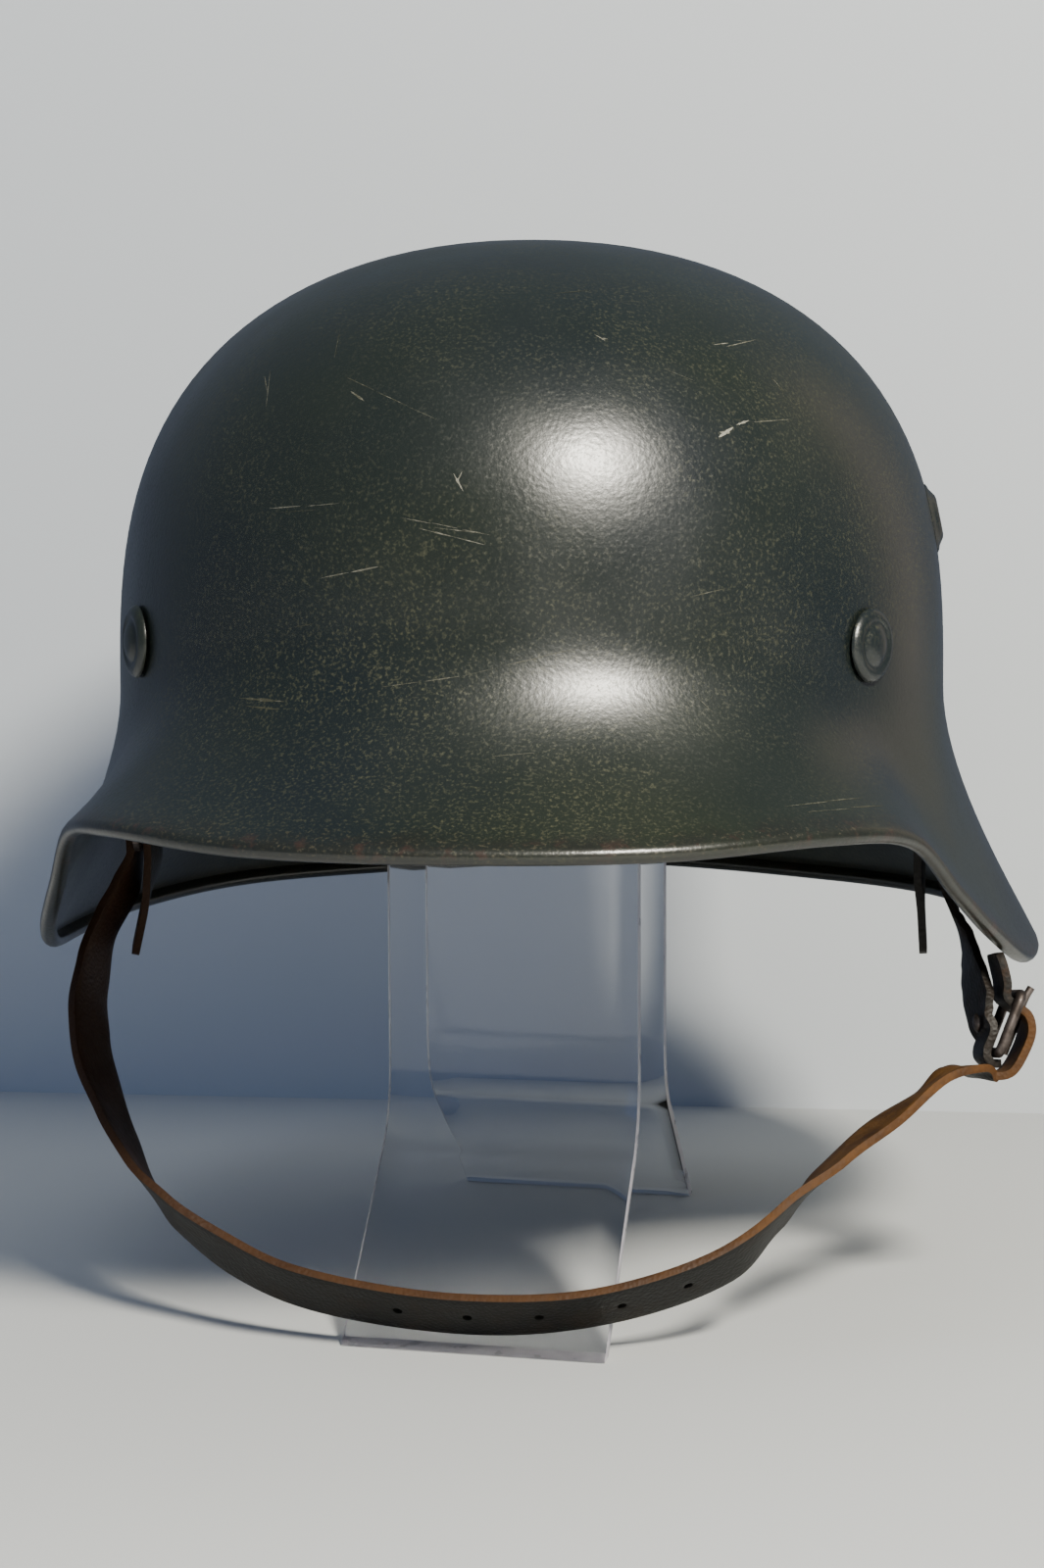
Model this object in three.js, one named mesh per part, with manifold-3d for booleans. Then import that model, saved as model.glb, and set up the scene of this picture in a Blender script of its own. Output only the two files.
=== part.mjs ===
// Steel helmet with a rolled rim and a leather chin strap, resting on a bent clear stand.
// Millimetres, +Z up, the visor faces -Y and the wearer's left is +X.
// Heights are first measured from a level just under the rim; the last lines set the feet at zero.
import * as THREE from "three";
import { mergeVertices } from "three/addons/utils/BufferGeometryUtils.js";
import Module from "manifold-3d";

const wasm = await Module();
wasm.setup();

// Skull of the shell, outer face
const SKULL_HALF_WIDTH = 97;
const SKULL_FRONT = 112;
const SKULL_REAR = 117;
const WAIST = 68.5; // height at the sides at which the upright wall starts to flare
const WAIST_RISE = 21.5; // how much higher that waist lies at the front
const CROWN_HEIGHT = 172.8;
const SIDE_POWER = 2.17; // 2 is an ellipse, more is squarer
const CROWN_POWER = 2.83;
const STEEL = 1.2;

// Rim, followed by the centre line of its rolled edge
const ROLL = 2; // radius of the rolled edge
const VISOR_OVERHANG = 32.9; // from the wall to the visor's edge
const VISOR_LIFT = 41.3; // how far the visor's edge stands above the lowest edge
const RIM_BASE = 4.6; // height of the lowest edge's centre line
const FLARE_PULL = 0.85; // how long the flare keeps the directions of its two ends
const FRONT_EASE = 0.42; // how much longer it keeps the wall's direction at the front
// azimuth in degrees from the visor, overhang as a share of VISOR_OVERHANG, lift as a share of
// VISOR_LIFT, slope in degrees below level with which the sheet meets the edge, waist as a share of
// WAIST_RISE
const RIM = [
  { azimuth: 0, overhang: 1, lift: 1, slope: 27, waist: 1 },
  { azimuth: 17.5, overhang: 1.033, lift: 1.005, slope: 27, waist: 0.96 },
  { azimuth: 34.5, overhang: 0.873, lift: 1.015, slope: 30, waist: 0.7 },
  { azimuth: 47.7, overhang: 0.652, lift: 0.915, slope: 37, waist: 0.36 },
  { azimuth: 58.6, overhang: 0.536, lift: 0.586, slope: 48, waist: 0.13 },
  { azimuth: 70, overhang: 0.531, lift: 0.288, slope: 57, waist: 0.02 },
  { azimuth: 84, overhang: 0.58, lift: 0.06, slope: 62, waist: 0 },
  { azimuth: 99.7, overhang: 0.681, lift: 0, slope: 63, waist: 0 },
  { azimuth: 118.8, overhang: 0.836, lift: 0.02, slope: 60, waist: 0.02 },
  { azimuth: 137.5, overhang: 0.935, lift: 0.05, slope: 57, waist: 0.12 },
  { azimuth: 157, overhang: 0.864, lift: 0.058, slope: 55, waist: 0.25 },
  { azimuth: 180, overhang: 0.711, lift: 0.1, slope: 54, waist: 0.3 },
];
const AZIMUTHS = 60;
const SKULL_RINGS = 12;
const RING_CROWDING = 1.3; // above 1, the rings stand closer near the waist
const FLARE_RINGS = 6;
const ROLL_STEPS = 5;

// Fittings
const GAP = 0.35; // clearance between neighbours that never touch
// Vent: its place, the outer radius of the embossed ring, the hole's radius and the lip's rise
const VENT = { y: 5, height: 107.7, outer: 7, inner: 2.6, lip: 1.7 };
const RIVET_AZIMUTH = 53.5;
const RIVET_HEIGHT = 82.4;
const REAR_RIVET_HEIGHT = 88;
const RIVET_HEAD = 8.2; // radius
const RIVET_PROUD = 2.7;
const RIVET_SHANK = 2.2; // radius
const RIVET_WASHER = 5; // radius of the clenched end inside
const RIVET_CLENCH = 1.1; // thickness of that end
const HANGER_Y = -6; // the straps hang this far along Y
const HANGER_SLOT_FOOT = 33; // height of the bar that the leather folds over
const HANGER_TOP = 80;
const HANGER_BAR = 4;
const HANGER_THICK = 1.4;
const HANGER_SLOT_HEIGHT = 7;
const HANGER_SIDE = 3.4; // metal beyond each edge of the strap
const SLOT_PLAY = 1.2; // room beyond each edge of the strap
const HANGER_CORNER = 2;
const HANGER_NECK = 0.6; // width of the upper part, as a share of the lower one
const HANGER_SHOULDER = { foot: 6, head: 14 }; // above the slot's top

// Leather and buckle
const STRAP_WIDTH = 15;
const STRAP_THICK = 1.9;
const STRAP_SWING = 81; // how far the loop's lowest part hangs forward of the hangers
const ROOM_SHARE = 4.79; // rooms under the side rim that an excess of 1 in the tables' across stands for
const BAR_DROP = 0.3; // how far the fold's middle lies below the top of the hanger's bar
const HOOK_TAIL = 4; // length of the short strap's end behind the buckle
const BUCKLE_WIRE = 1.2; // radius
const BUCKLE_LENGTH = 14.2; // between the centres of the two bars
const PRONG_RADIUS = 0.9;
const PRONG_PAST = 2.9; // how far the prong's tip lies past the upper bar
const STUD_RADIUS = 2.2;
const STUD_STATION = 16.8; // where the stud lies, counted in the short strap's stations
const BUCKLE_PLACE = { across: 1.127, forward: 0.3, down: 0.436 };
// The loose tip of each doubled end: how far it leans out of its plate, its length below the bar
// and the turn of its width
const TIPS = {
  left: { lean: -1.1, length: 26.4, turn: 1 },
  right: { lean: 2.5, length: 29.4, turn: 13 },
};
// across is a share of the strap's distance from the middle plane as it leaves its hanger, and what
// exceeds 1 follows the room under the side rim; forward is a share of STRAP_SWING, down is one of
// the hanger bar's height over the table; turn is in degrees
const LONG_STRAP = [
  { across: -1.012, forward: 0.028, down: 0.13, turn: 12 },
  { across: -1.054, forward: 0.071, down: 0.209, turn: 10 },
  { across: -1.069, forward: 0.171, down: 0.312, turn: 12 },
  { across: -1.053, forward: 0.3, down: 0.409, turn: 12 },
  { across: -1.008, forward: 0.428, down: 0.502, turn: 8 },
  { across: -0.937, forward: 0.557, down: 0.594, turn: -3 },
  { across: -0.854, forward: 0.686, down: 0.682, turn: -16 },
  { across: -0.764, forward: 0.771, down: 0.749, turn: -32 },
  { across: -0.602, forward: 0.857, down: 0.828, turn: -43 },
  { across: -0.431, forward: 0.929, down: 0.876, turn: -45 },
  { across: -0.042, forward: 1, down: 0.909, turn: -44 },
  { across: 0.275, forward: 0.986, down: 0.884, turn: -39 },
  { across: 0.545, forward: 0.886, down: 0.805, turn: -34 },
  { across: 0.655, forward: 0.786, down: 0.722, turn: -18 },
  { across: 0.764, forward: 0.671, down: 0.634, turn: 0 },
  { across: 0.874, forward: 0.557, down: 0.561, turn: 4 },
  { across: 0.985, forward: 0.443, down: 0.496, turn: -9 },
  { across: 1.06, forward: 0.357, down: 0.466, turn: -12 },
];
// Middle line of the long strap's bend over the buckle and of its free end, as shares of the buckle's
// length
const BUCKLE_BEND = [
  { rise: -0.4, out: -0.028 },
  { rise: -0.235, out: 0.3 },
  { rise: 0.176, out: 0.4 },
  { rise: 0.535, out: 0.38 },
  { rise: 0.745, out: 0.235 },
  { rise: 0.812, out: 0 },
  { rise: 0.885, out: -0.18 },
  { rise: 1.08, out: -0.25 },
  { rise: 1.3, out: -0.39 },
  { rise: 1.5, out: -0.54 },
];
const SHORT_STRAP = [
  { across: 1.0131, forward: 0.0125, down: 0.1123, turn: 0 },
  { across: 1.041, forward: 0.046, down: 0.1784, turn: -3 },
  { across: 1.0545, forward: 0.074, down: 0.2078, turn: -9 },
  { across: 1.0643, forward: 0.105, down: 0.2368, turn: -14 },
  { across: 1.0732, forward: 0.148, down: 0.275, turn: -20 },
  { across: 1.0854, forward: 0.194, down: 0.3125, turn: -27 },
  { across: 1.0988, forward: 0.243, down: 0.3492, turn: -28 },
  { across: 1.1084, forward: 0.28, down: 0.3786, turn: -22 },
];

// Stand
const SHEET = 3;
const STAND_WIDTH = 60;
const STAND_DEPTH = 72.5; // the feet stand this far below the helmet's own level
const LEG_OFFSET = 26.5; // from the middle to an upright leg's outer face
const FOOT_OFFSET = 85.7; // from the middle to the front of a foot
const KNEE_HEIGHT = -20; // where a leg starts to bend out
const KNEE_RADIUS = 22;
const TOP_RADIUS = 14;
const BEND_STEPS = 8;
const STAND_Y = 1.3;
const STAND_X = -1.3;
const STAND_SKEW = 8; // degrees by which the bends run askew
const STAND_TURN = 1.6;

const radians = THREE.MathUtils.degToRad;
const up = new THREE.Vector3(0, 0, 1);

// Value of a table's column at an azimuth, by a smooth cubic through the rows.
function column(rows, key, azimuth) {
  const a = Math.min(Math.abs(azimuth), rows[rows.length - 1].azimuth);
  let i = rows.findIndex((row) => row.azimuth >= a);
  if (i < 1) i = 1;
  const at = (k) => rows[Math.min(Math.max(k, 0), rows.length - 1)];
  const slopeAt = (k) => {
    if (k <= 0 || k >= rows.length - 1) return 0;
    return (at(k + 1)[key] - at(k - 1)[key]) / (at(k + 1).azimuth - at(k - 1).azimuth);
  };
  const span = at(i).azimuth - at(i - 1).azimuth;
  const s = (a - at(i - 1).azimuth) / span;
  const rise = at(i)[key] - at(i - 1)[key];
  const from = slopeAt(i - 1) * span;
  const to = slopeAt(i) * span;
  return at(i - 1)[key] + s * from + s * s * (3 * rise - 2 * from - to) + s * s * s * (from + to - 2 * rise);
}

// Radius of the skull's upright wall at an azimuth.
function wallRadius(azimuth) {
  const across = Math.sin(radians(azimuth)) / SKULL_HALF_WIDTH;
  const along = Math.cos(radians(azimuth)) / (Math.cos(radians(azimuth)) > 0 ? SKULL_FRONT : SKULL_REAR);
  return 1 / Math.hypot(across, along);
}

function waistHeight(azimuth) {
  return WAIST + column(RIM, "waist", azimuth) * WAIST_RISE;
}

// Outer profile of the skull: quarter turn 0 is the crown, 1 is the waist.
function skullPoint(azimuth, turn) {
  const angle = (turn * Math.PI) / 2;
  const waist = waistHeight(azimuth);
  return new THREE.Vector2(
    wallRadius(azimuth) * Math.sin(angle) ** (2 / SIDE_POWER),
    waist + (CROWN_HEIGHT - waist) * Math.max(Math.cos(angle), 0) ** (2 / CROWN_POWER),
  );
}

// Centre of the rolled edge at an azimuth, the sheet's direction there and the face's normal.
function rimEnd(azimuth) {
  const slope = radians(column(RIM, "slope", azimuth));
  const run = new THREE.Vector2(Math.cos(slope), -Math.sin(slope));
  const face = new THREE.Vector2(Math.sin(slope), Math.cos(slope));
  const centre = new THREE.Vector2(
    wallRadius(azimuth) + column(RIM, "overhang", azimuth) * VISOR_OVERHANG,
    RIM_BASE + column(RIM, "lift", azimuth) * VISOR_LIFT,
  );
  return { run, face, centre };
}

// Outer profile of the flare: 0 is the waist, 1 is where the rolled edge starts.
function flarePoint(azimuth, s) {
  const { run, face, centre } = rimEnd(azimuth);
  const start = skullPoint(azimuth, 1);
  const end = centre.clone().addScaledVector(face, ROLL);
  const pull = start.distanceTo(end) * FLARE_PULL;
  const ease = 1 + column(RIM, "waist", azimuth) * FRONT_EASE;
  const cubic = (a, b, fromSlope, toSlope) =>
    (2 * s ** 3 - 3 * s ** 2 + 1) * a +
    (s ** 3 - 2 * s ** 2 + s) * fromSlope +
    (3 * s ** 2 - 2 * s ** 3) * b +
    (s ** 3 - s ** 2) * toSlope;
  return new THREE.Vector2(
    cubic(start.x, end.x, 0, run.x * pull),
    cubic(start.y, end.y, -pull * ease, run.y * pull),
  );
}

// The profile moved inwards by the sheet's thickness.
function inside(profile, azimuth, s) {
  const step = 1e-3;
  const before = profile(azimuth, Math.max(s - step, 0));
  const after = profile(azimuth, Math.min(s + step, 1));
  const along = after.sub(before).normalize();
  return profile(azimuth, s).add(new THREE.Vector2(along.y, -along.x).multiplyScalar(STEEL));
}

// One closed section of the shell, from the crown down the outer face and back up the inner one.
function shellSection(azimuth) {
  const points = [];
  const ringTurn = (i) => 1 - (1 - i / SKULL_RINGS) ** RING_CROWDING;
  for (let i = 1; i <= SKULL_RINGS; i++) points.push(skullPoint(azimuth, ringTurn(i)));
  for (let i = 1; i <= FLARE_RINGS; i++) points.push(flarePoint(azimuth, i / FLARE_RINGS));
  const { run, face, centre } = rimEnd(azimuth);
  for (let i = 1; i <= ROLL_STEPS; i++) {
    const angle = (i * 1.25 * Math.PI) / ROLL_STEPS;
    points.push(
      centre.clone().addScaledVector(face, ROLL * Math.cos(angle)).addScaledVector(run, ROLL * Math.sin(angle)),
    );
  }
  const back = Math.sqrt(ROLL ** 2 - (ROLL - STEEL) ** 2);
  points.push(centre.clone().addScaledVector(face, ROLL - STEEL).addScaledVector(run, -back));
  for (let i = FLARE_RINGS - 1; i >= 1; i--) points.push(inside(flarePoint, azimuth, i / FLARE_RINGS));
  for (let i = SKULL_RINGS; i >= 1; i--) points.push(inside(skullPoint, azimuth, ringTurn(i)));
  return points;
}

// A solid in manifold-3d from a three.js geometry, and the way back.
function toSolid(geometry) {
  const bare = new THREE.BufferGeometry().setAttribute("position", geometry.getAttribute("position"));
  if (geometry.index) bare.setIndex(geometry.index);
  const merged = mergeVertices(bare, 1e-3);
  return new wasm.Manifold(
    new wasm.Mesh({
      numProp: 3,
      vertProperties: merged.attributes.position.array,
      triVerts: new Uint32Array(merged.index.array),
    }),
  );
}

function toGeometry(solid) {
  const mesh = solid.getMesh();
  const geometry = new THREE.BufferGeometry();
  geometry.setAttribute("position", new THREE.BufferAttribute(new Float32Array(mesh.vertProperties), 3));
  geometry.setIndex(new THREE.BufferAttribute(new Uint32Array(mesh.triVerts), 1));
  geometry.computeVertexNormals();
  return geometry;
}

function indexed(points, faces) {
  const geometry = new THREE.BufferGeometry();
  const flat = points.flatMap((p) => [p.x, p.y, p.z]);
  geometry.setAttribute("position", new THREE.Float32BufferAttribute(flat, 3));
  geometry.setIndex(faces.flat());
  geometry.computeVertexNormals();
  return geometry;
}

// Unit vector from the axis towards an azimuth.
function outward(azimuth) {
  return new THREE.Vector3(Math.sin(radians(azimuth)), -Math.cos(radians(azimuth)), 0);
}

// The whole shell: its sections joined round the axis, with one point at each crown.
function shellGeometry() {
  const sections = [];
  for (let k = 0; k < AZIMUTHS; k++) {
    const azimuth = (k * 360) / AZIMUTHS;
    const signed = azimuth > 180 ? azimuth - 360 : azimuth;
    const out = outward(signed);
    sections.push(shellSection(signed).map((p) => out.clone().multiplyScalar(p.x).setZ(p.y)));
  }
  const size = sections[0].length;
  const points = sections.flat();
  const outerCrown = points.push(new THREE.Vector3(0, 0, CROWN_HEIGHT)) - 1;
  const innerCrown = points.push(new THREE.Vector3(0, 0, CROWN_HEIGHT - STEEL)) - 1;
  const faces = [];
  for (let k = 0; k < AZIMUTHS; k++) {
    const here = k * size;
    const next = ((k + 1) % AZIMUTHS) * size;
    for (let i = 0; i + 1 < size; i++) {
      faces.push([here + i, here + i + 1, next + i + 1], [here + i, next + i + 1, next + i]);
    }
    faces.push([outerCrown, here, next], [innerCrown, next + size - 1, here + size - 1]);
  }
  return indexed(points, faces);
}

// Point and normal of the skull's outer face at an azimuth and a height.
function skullSpot(azimuth, height) {
  const waist = waistHeight(azimuth);
  const share = (height - waist) / (CROWN_HEIGHT - waist);
  const turn = (Math.acos(share ** (CROWN_POWER / 2)) * 2) / Math.PI;
  const at = (a, s) => {
    const p = skullPoint(a, s);
    return outward(a).multiplyScalar(p.x).setZ(p.y);
  };
  const step = 0.01;
  const round = at(azimuth + step, turn).sub(at(azimuth - step, turn));
  const down = at(azimuth, turn + step).sub(at(azimuth, turn - step));
  return { point: at(azimuth, turn), normal: down.cross(round).normalize() };
}

// Puts a geometry whose axis is +Y at a spot, with that axis along the spot's normal.
function place(geometry, spot) {
  const turn = new THREE.Quaternion().setFromUnitVectors(new THREE.Vector3(0, 1, 0), spot.normal);
  return geometry.applyQuaternion(turn).translate(spot.point.x, spot.point.y, spot.point.z);
}

function lathe(rows, steps = 24) {
  return new THREE.LatheGeometry(rows.map(([r, y]) => new THREE.Vector2(r, y)), steps);
}

// Rivet: ringed dome outside, shank through the sheet, clenched end inside.
function rivetGeometry() {
  const r = RIVET_HEAD;
  const h = RIVET_PROUD;
  const foot = -STEEL - 2.2 * GAP;
  return lathe([
    [0, foot - RIVET_CLENCH],
    [RIVET_WASHER * 0.8, foot - RIVET_CLENCH],
    [RIVET_WASHER, foot - RIVET_CLENCH * 0.6],
    [RIVET_WASHER, foot],
    [RIVET_SHANK, foot],
    [RIVET_SHANK, GAP],
    [r, GAP],
    [r * 0.97, GAP + h * 0.25],
    [r * 0.86, GAP + h * 0.55],
    [r * 0.72, GAP + h * 0.62],
    [r * 0.62, GAP + h * 0.52],
    [r * 0.5, GAP + h * 0.74],
    [r * 0.3, GAP + h * 0.95],
    [0, GAP + h],
  ]);
}

const rivetSpots = {
  rivet_front_left: skullSpot(RIVET_AZIMUTH, RIVET_HEIGHT),
  rivet_front_right: skullSpot(-RIVET_AZIMUTH, RIVET_HEIGHT),
  rivet_rear: skullSpot(180, REAR_RIVET_HEIGHT),
};

// Embossed ring round each vent, and the drill that opens it.
function ventAzimuth() {
  const row = wallRadius(90);
  return 90 + THREE.MathUtils.radToDeg(Math.atan2(VENT.y, row));
}
const ventSpots = [skullSpot(ventAzimuth(), VENT.height), skullSpot(-ventAzimuth(), VENT.height)];

function cutShell() {
  let shell = toSolid(shellGeometry());
  for (const spot of ventSpots) {
    const { outer, inner, lip } = VENT;
    const brow = inner + (outer - inner) * 0.4;
    const slope = inner + (outer - inner) * 0.77;
    const ring = lathe([
      [inner, -STEEL / 2],
      [outer, -STEEL / 2],
      [outer, lip * 0.06],
      [slope, lip * 0.9],
      [brow, lip],
      [inner, lip * 0.45],
      [inner, -STEEL / 2],
    ]);
    shell = shell.add(toSolid(place(ring, spot)));
    const drill = new THREE.CylinderGeometry(inner, inner, STEEL * 8, 24);
    shell = shell.subtract(toSolid(place(drill, spot)));
  }
  for (const spot of Object.values(rivetSpots)) {
    const bore = RIVET_SHANK + GAP;
    shell = shell.subtract(toSolid(place(new THREE.CylinderGeometry(bore, bore, STEEL * 6, 24), spot)));
  }
  return toGeometry(shell);
}

// Hanger: a plain slotted plate that lies against the inner wall. side is 1 or -1.
const hangerTilt = Math.atan(
  (SKULL_HALF_WIDTH ** 2 * Math.abs(HANGER_Y)) /
    (SKULL_FRONT ** 2 * SKULL_HALF_WIDTH * Math.sqrt(1 - (HANGER_Y / SKULL_FRONT) ** 2)),
);
const wallAtHanger = SKULL_HALF_WIDTH * Math.sqrt(1 - (HANGER_Y / SKULL_FRONT) ** 2);
const hangerX = wallAtHanger - STEEL - 3 * GAP - HANGER_THICK / 2;

function hangerGeometry(side) {
  const half = STRAP_WIDTH / 2 + HANGER_SIDE;
  const neck = half * HANGER_NECK;
  const slotHalf = STRAP_WIDTH / 2 + SLOT_PLAY;
  const slotTop = HANGER_SLOT_FOOT + HANGER_SLOT_HEIGHT;
  const foot = HANGER_SLOT_FOOT - HANGER_BAR;
  const outline = new THREE.Shape();
  outline.moveTo(-half, foot + HANGER_CORNER);
  outline.lineTo(-half + HANGER_CORNER, foot);
  outline.lineTo(half - HANGER_CORNER, foot);
  outline.lineTo(half, foot + HANGER_CORNER);
  outline.lineTo(half, slotTop + HANGER_SHOULDER.foot);
  outline.lineTo(neck, slotTop + HANGER_SHOULDER.head);
  outline.lineTo(neck, HANGER_TOP);
  outline.lineTo(-neck, HANGER_TOP);
  outline.lineTo(-neck, slotTop + HANGER_SHOULDER.head);
  outline.lineTo(-half, slotTop + HANGER_SHOULDER.foot);
  outline.closePath();
  const slot = new THREE.Path();
  slot.moveTo(-slotHalf, HANGER_SLOT_FOOT);
  slot.lineTo(-slotHalf, slotTop);
  slot.lineTo(slotHalf, slotTop);
  slot.lineTo(slotHalf, HANGER_SLOT_FOOT);
  slot.closePath();
  outline.holes.push(slot);
  const plate = new THREE.ExtrudeGeometry(outline, { depth: HANGER_THICK, bevelEnabled: false });
  plate.translate(0, 0, -HANGER_THICK / 2);
  // The outline's x runs along Y and its y runs up.
  plate.rotateX(Math.PI / 2).rotateZ(Math.PI / 2);
  return plate.rotateZ(-side * hangerTilt).translate(side * hangerX, HANGER_Y, 0);
}

// Where a row of shares lies. Both hangers' straps start this far from the middle plane.
const strapReach = hangerX + HANGER_THICK / 2 + 1.3 * GAP + STRAP_THICK;

const rimRoom = rimEnd(90).centre.x - strapReach;

function sharedSpot({ across, forward, down }) {
  const beyond = Math.max(Math.abs(across) - 1, 0);
  const distance = Math.min(Math.abs(across), 1) * strapReach + beyond * ROOM_SHARE * rimRoom;
  return new THREE.Vector3(
    Math.sign(across) * distance,
    HANGER_Y - forward * STRAP_SWING,
    HANGER_SLOT_FOOT - down * (HANGER_SLOT_FOOT + STAND_DEPTH),
  );
}

// A strap's station holds a place and either its width's direction or the width's turn about the
// path, counted from the width that runs straight back.
function tableStations(rows) {
  return rows.map((row) => ({ place: sharedSpot(row), turn: row.turn }));
}

// The doubled end: up from the loose tip inside, over the hanger's bar and down outside.
function foldStations(side, { lean, length, turn }) {
  const wide = new THREE.Vector3(0, 1, 0).applyAxisAngle(up, -side * hangerTilt);
  const out = new THREE.Vector3(side, 0, 0).applyAxisAngle(up, -side * hangerTilt);
  const bar = new THREE.Vector3(side * hangerX, HANGER_Y, HANGER_SLOT_FOOT - BAR_DROP);
  const radius = HANGER_THICK / 2 + 1.3 * GAP + STRAP_THICK / 2;
  const at = (o, u) => bar.clone().addScaledVector(out, o * radius).addScaledVector(up, u * radius);
  const tipWide = new THREE.Vector3(0, 1, 0).applyAxisAngle(up, radians(turn));
  const tip = new THREE.Vector3(side * (hangerX + lean), HANGER_Y, HANGER_SLOT_FOOT - length);
  const middle = tip.clone().lerp(at(-1, -4), 0.5);
  return [
    { place: tip, wide: tipWide },
    { place: middle, wide: tipWide },
    { place: at(-1, -3.5), wide },
    { place: at(-1, -1.2), wide },
    { place: at(-1, 0), wide },
    { place: at(-Math.SQRT1_2, Math.SQRT1_2), wide },
    { place: at(0, 1), wide },
    { place: at(Math.SQRT1_2, Math.SQRT1_2), wide },
    { place: at(1, 0), wide },
    { place: at(1, -2.4), wide },
  ];
}

// The curve of a strap and its width at any share of the way.
function strapPath(stations) {
  const places = stations.map((s) => s.place);
  const curve = new THREE.CatmullRomCurve3(places, false, "centripetal");
  const spans = stations.length - 1;
  const wides = stations.map(({ wide, turn }, k) => {
    if (wide) return wide;
    const along = curve.getTangent(k / spans);
    const back = new THREE.Vector3(0, 1, 0).addScaledVector(along, -along.y).normalize();
    return back.applyAxisAngle(along, radians(turn));
  });
  return (t) => {
    const k = Math.min(Math.floor(t * spans), spans - 1);
    const s = t * spans - k;
    const along = curve.getTangent(t);
    const wide = wides[k].clone().lerp(wides[k + 1], s * s * (3 - 2 * s));
    wide.addScaledVector(along, -along.dot(wide)).normalize();
    return { centre: curve.getPoint(t), wide, thick: along.clone().cross(wide) };
  };
}

// Faces of a tube of rings with n points each, closed at both ends.
function tubeFaces(rings, n) {
  const faces = [];
  for (let i = 0; i + 1 < rings; i++) {
    for (let j = 0; j < n; j++) {
      const a = i * n + j;
      const b = i * n + ((j + 1) % n);
      faces.push([a, b, b + n], [a, b + n, a + n]);
    }
  }
  const last = (rings - 1) * n;
  for (let j = 1; j + 1 < n; j++) {
    faces.push([0, j + 1, j], [last, last + j, last + j + 1]);
  }
  return faces;
}

function ribbonGeometry(stations, steps) {
  const path = strapPath(stations);
  const edge = STRAP_THICK * 0.3;
  const halfWidth = STRAP_WIDTH / 2;
  const halfThick = STRAP_THICK / 2;
  const outline = [
    [-halfWidth, -halfThick + edge],
    [-halfWidth + edge, -halfThick],
    [halfWidth - edge, -halfThick],
    [halfWidth, -halfThick + edge],
    [halfWidth, halfThick - edge],
    [halfWidth - edge, halfThick],
    [-halfWidth + edge, halfThick],
    [-halfWidth, halfThick - edge],
  ];
  const points = [];
  const rings = (stations.length - 1) * steps + 1;
  for (let i = 0; i < rings; i++) {
    const { centre, wide, thick } = path(i / (rings - 1));
    const taper = i === 0 || i === rings - 1 ? 0.8 : 1;
    for (const [w, h] of outline) {
      points.push(centre.clone().addScaledVector(wide, w * taper).addScaledVector(thick, h));
    }
  }
  return indexed(points, tubeFaces(rings, outline.length));
}

// The buckle's own directions: along its sides, along its bars, and out of its frame.
const buckleBar = new THREE.Vector3(-0.17, 0.97, -0.17).normalize();
const buckleFoot = sharedSpot(BUCKLE_PLACE);
const buckleRise = new THREE.Vector3(0.347, 0.208, 0.915);
buckleRise.addScaledVector(buckleBar, -buckleRise.dot(buckleBar)).normalize();
const buckleOut = buckleBar.clone().cross(buckleRise).normalize();

function buckleSpot(rise, out, bar = 0) {
  return buckleFoot
    .clone()
    .addScaledVector(buckleRise, rise)
    .addScaledVector(buckleOut, out)
    .addScaledVector(buckleBar, bar);
}

// Round wire along a line of places, with its two ends drawn in.
function wireGeometry(places, radius, segments) {
  const curve = new THREE.CatmullRomCurve3(places, false, "centripetal");
  const sides = 8;
  const points = [];
  for (let i = 0; i <= segments; i++) {
    const along = curve.getTangent(i / segments);
    const side = buckleBar.clone().addScaledVector(along, -along.dot(buckleBar)).normalize();
    const other = along.clone().cross(side);
    const r = radius * (i === 0 || i === segments ? 0.55 : 1);
    for (let j = 0; j < sides; j++) {
      const a = (j * 2 * Math.PI) / sides;
      const spot = curve.getPoint(i / segments);
      points.push(spot.addScaledVector(side, r * Math.cos(a)).addScaledVector(other, r * Math.sin(a)));
    }
  }
  return indexed(points, tubeFaces(segments + 1, sides));
}

function buckleGeometry() {
  const half = STRAP_WIDTH / 2 + 1.7 * GAP + BUCKLE_WIRE;
  const bend = 1.3 * BUCKLE_WIRE;
  const corners = [
    buckleSpot(0, 0, -half),
    buckleSpot(BUCKLE_LENGTH, 0, -half),
    buckleSpot(BUCKLE_LENGTH, 0, half),
    buckleSpot(0, 0, half),
  ];
  const near = (from, to) => from.clone().add(to.clone().sub(from).setLength(bend));
  const route = new THREE.CurvePath();
  corners.forEach((here, i) => {
    const before = corners[(i + 3) % 4];
    const after = corners[(i + 1) % 4];
    route.add(new THREE.QuadraticBezierCurve3(near(here, before), here, near(here, after)));
    route.add(new THREE.LineCurve3(near(here, after), near(after, here)));
  });
  return new THREE.TubeGeometry(route, 44, BUCKLE_WIRE, 8, true);
}

const prongOut = BUCKLE_WIRE + GAP + PRONG_RADIUS;
const prongPlaces = [
  buckleSpot(BUCKLE_WIRE * 0.5, prongOut),
  buckleSpot(BUCKLE_LENGTH * 0.5, prongOut + PRONG_RADIUS * 0.1),
  buckleSpot(BUCKLE_LENGTH, prongOut),
  buckleSpot(BUCKLE_LENGTH + PRONG_PAST, prongOut + PRONG_RADIUS * 0.5),
];

// The free end passes under the lower bar, rounds the frame, enters below the upper bar and ends
// under the rim.
function buckleStations() {
  return BUCKLE_BEND.map(({ rise, out }) => ({
    place: buckleSpot(rise * BUCKLE_LENGTH, out * BUCKLE_LENGTH),
    wide: buckleBar,
  }));
}

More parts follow.
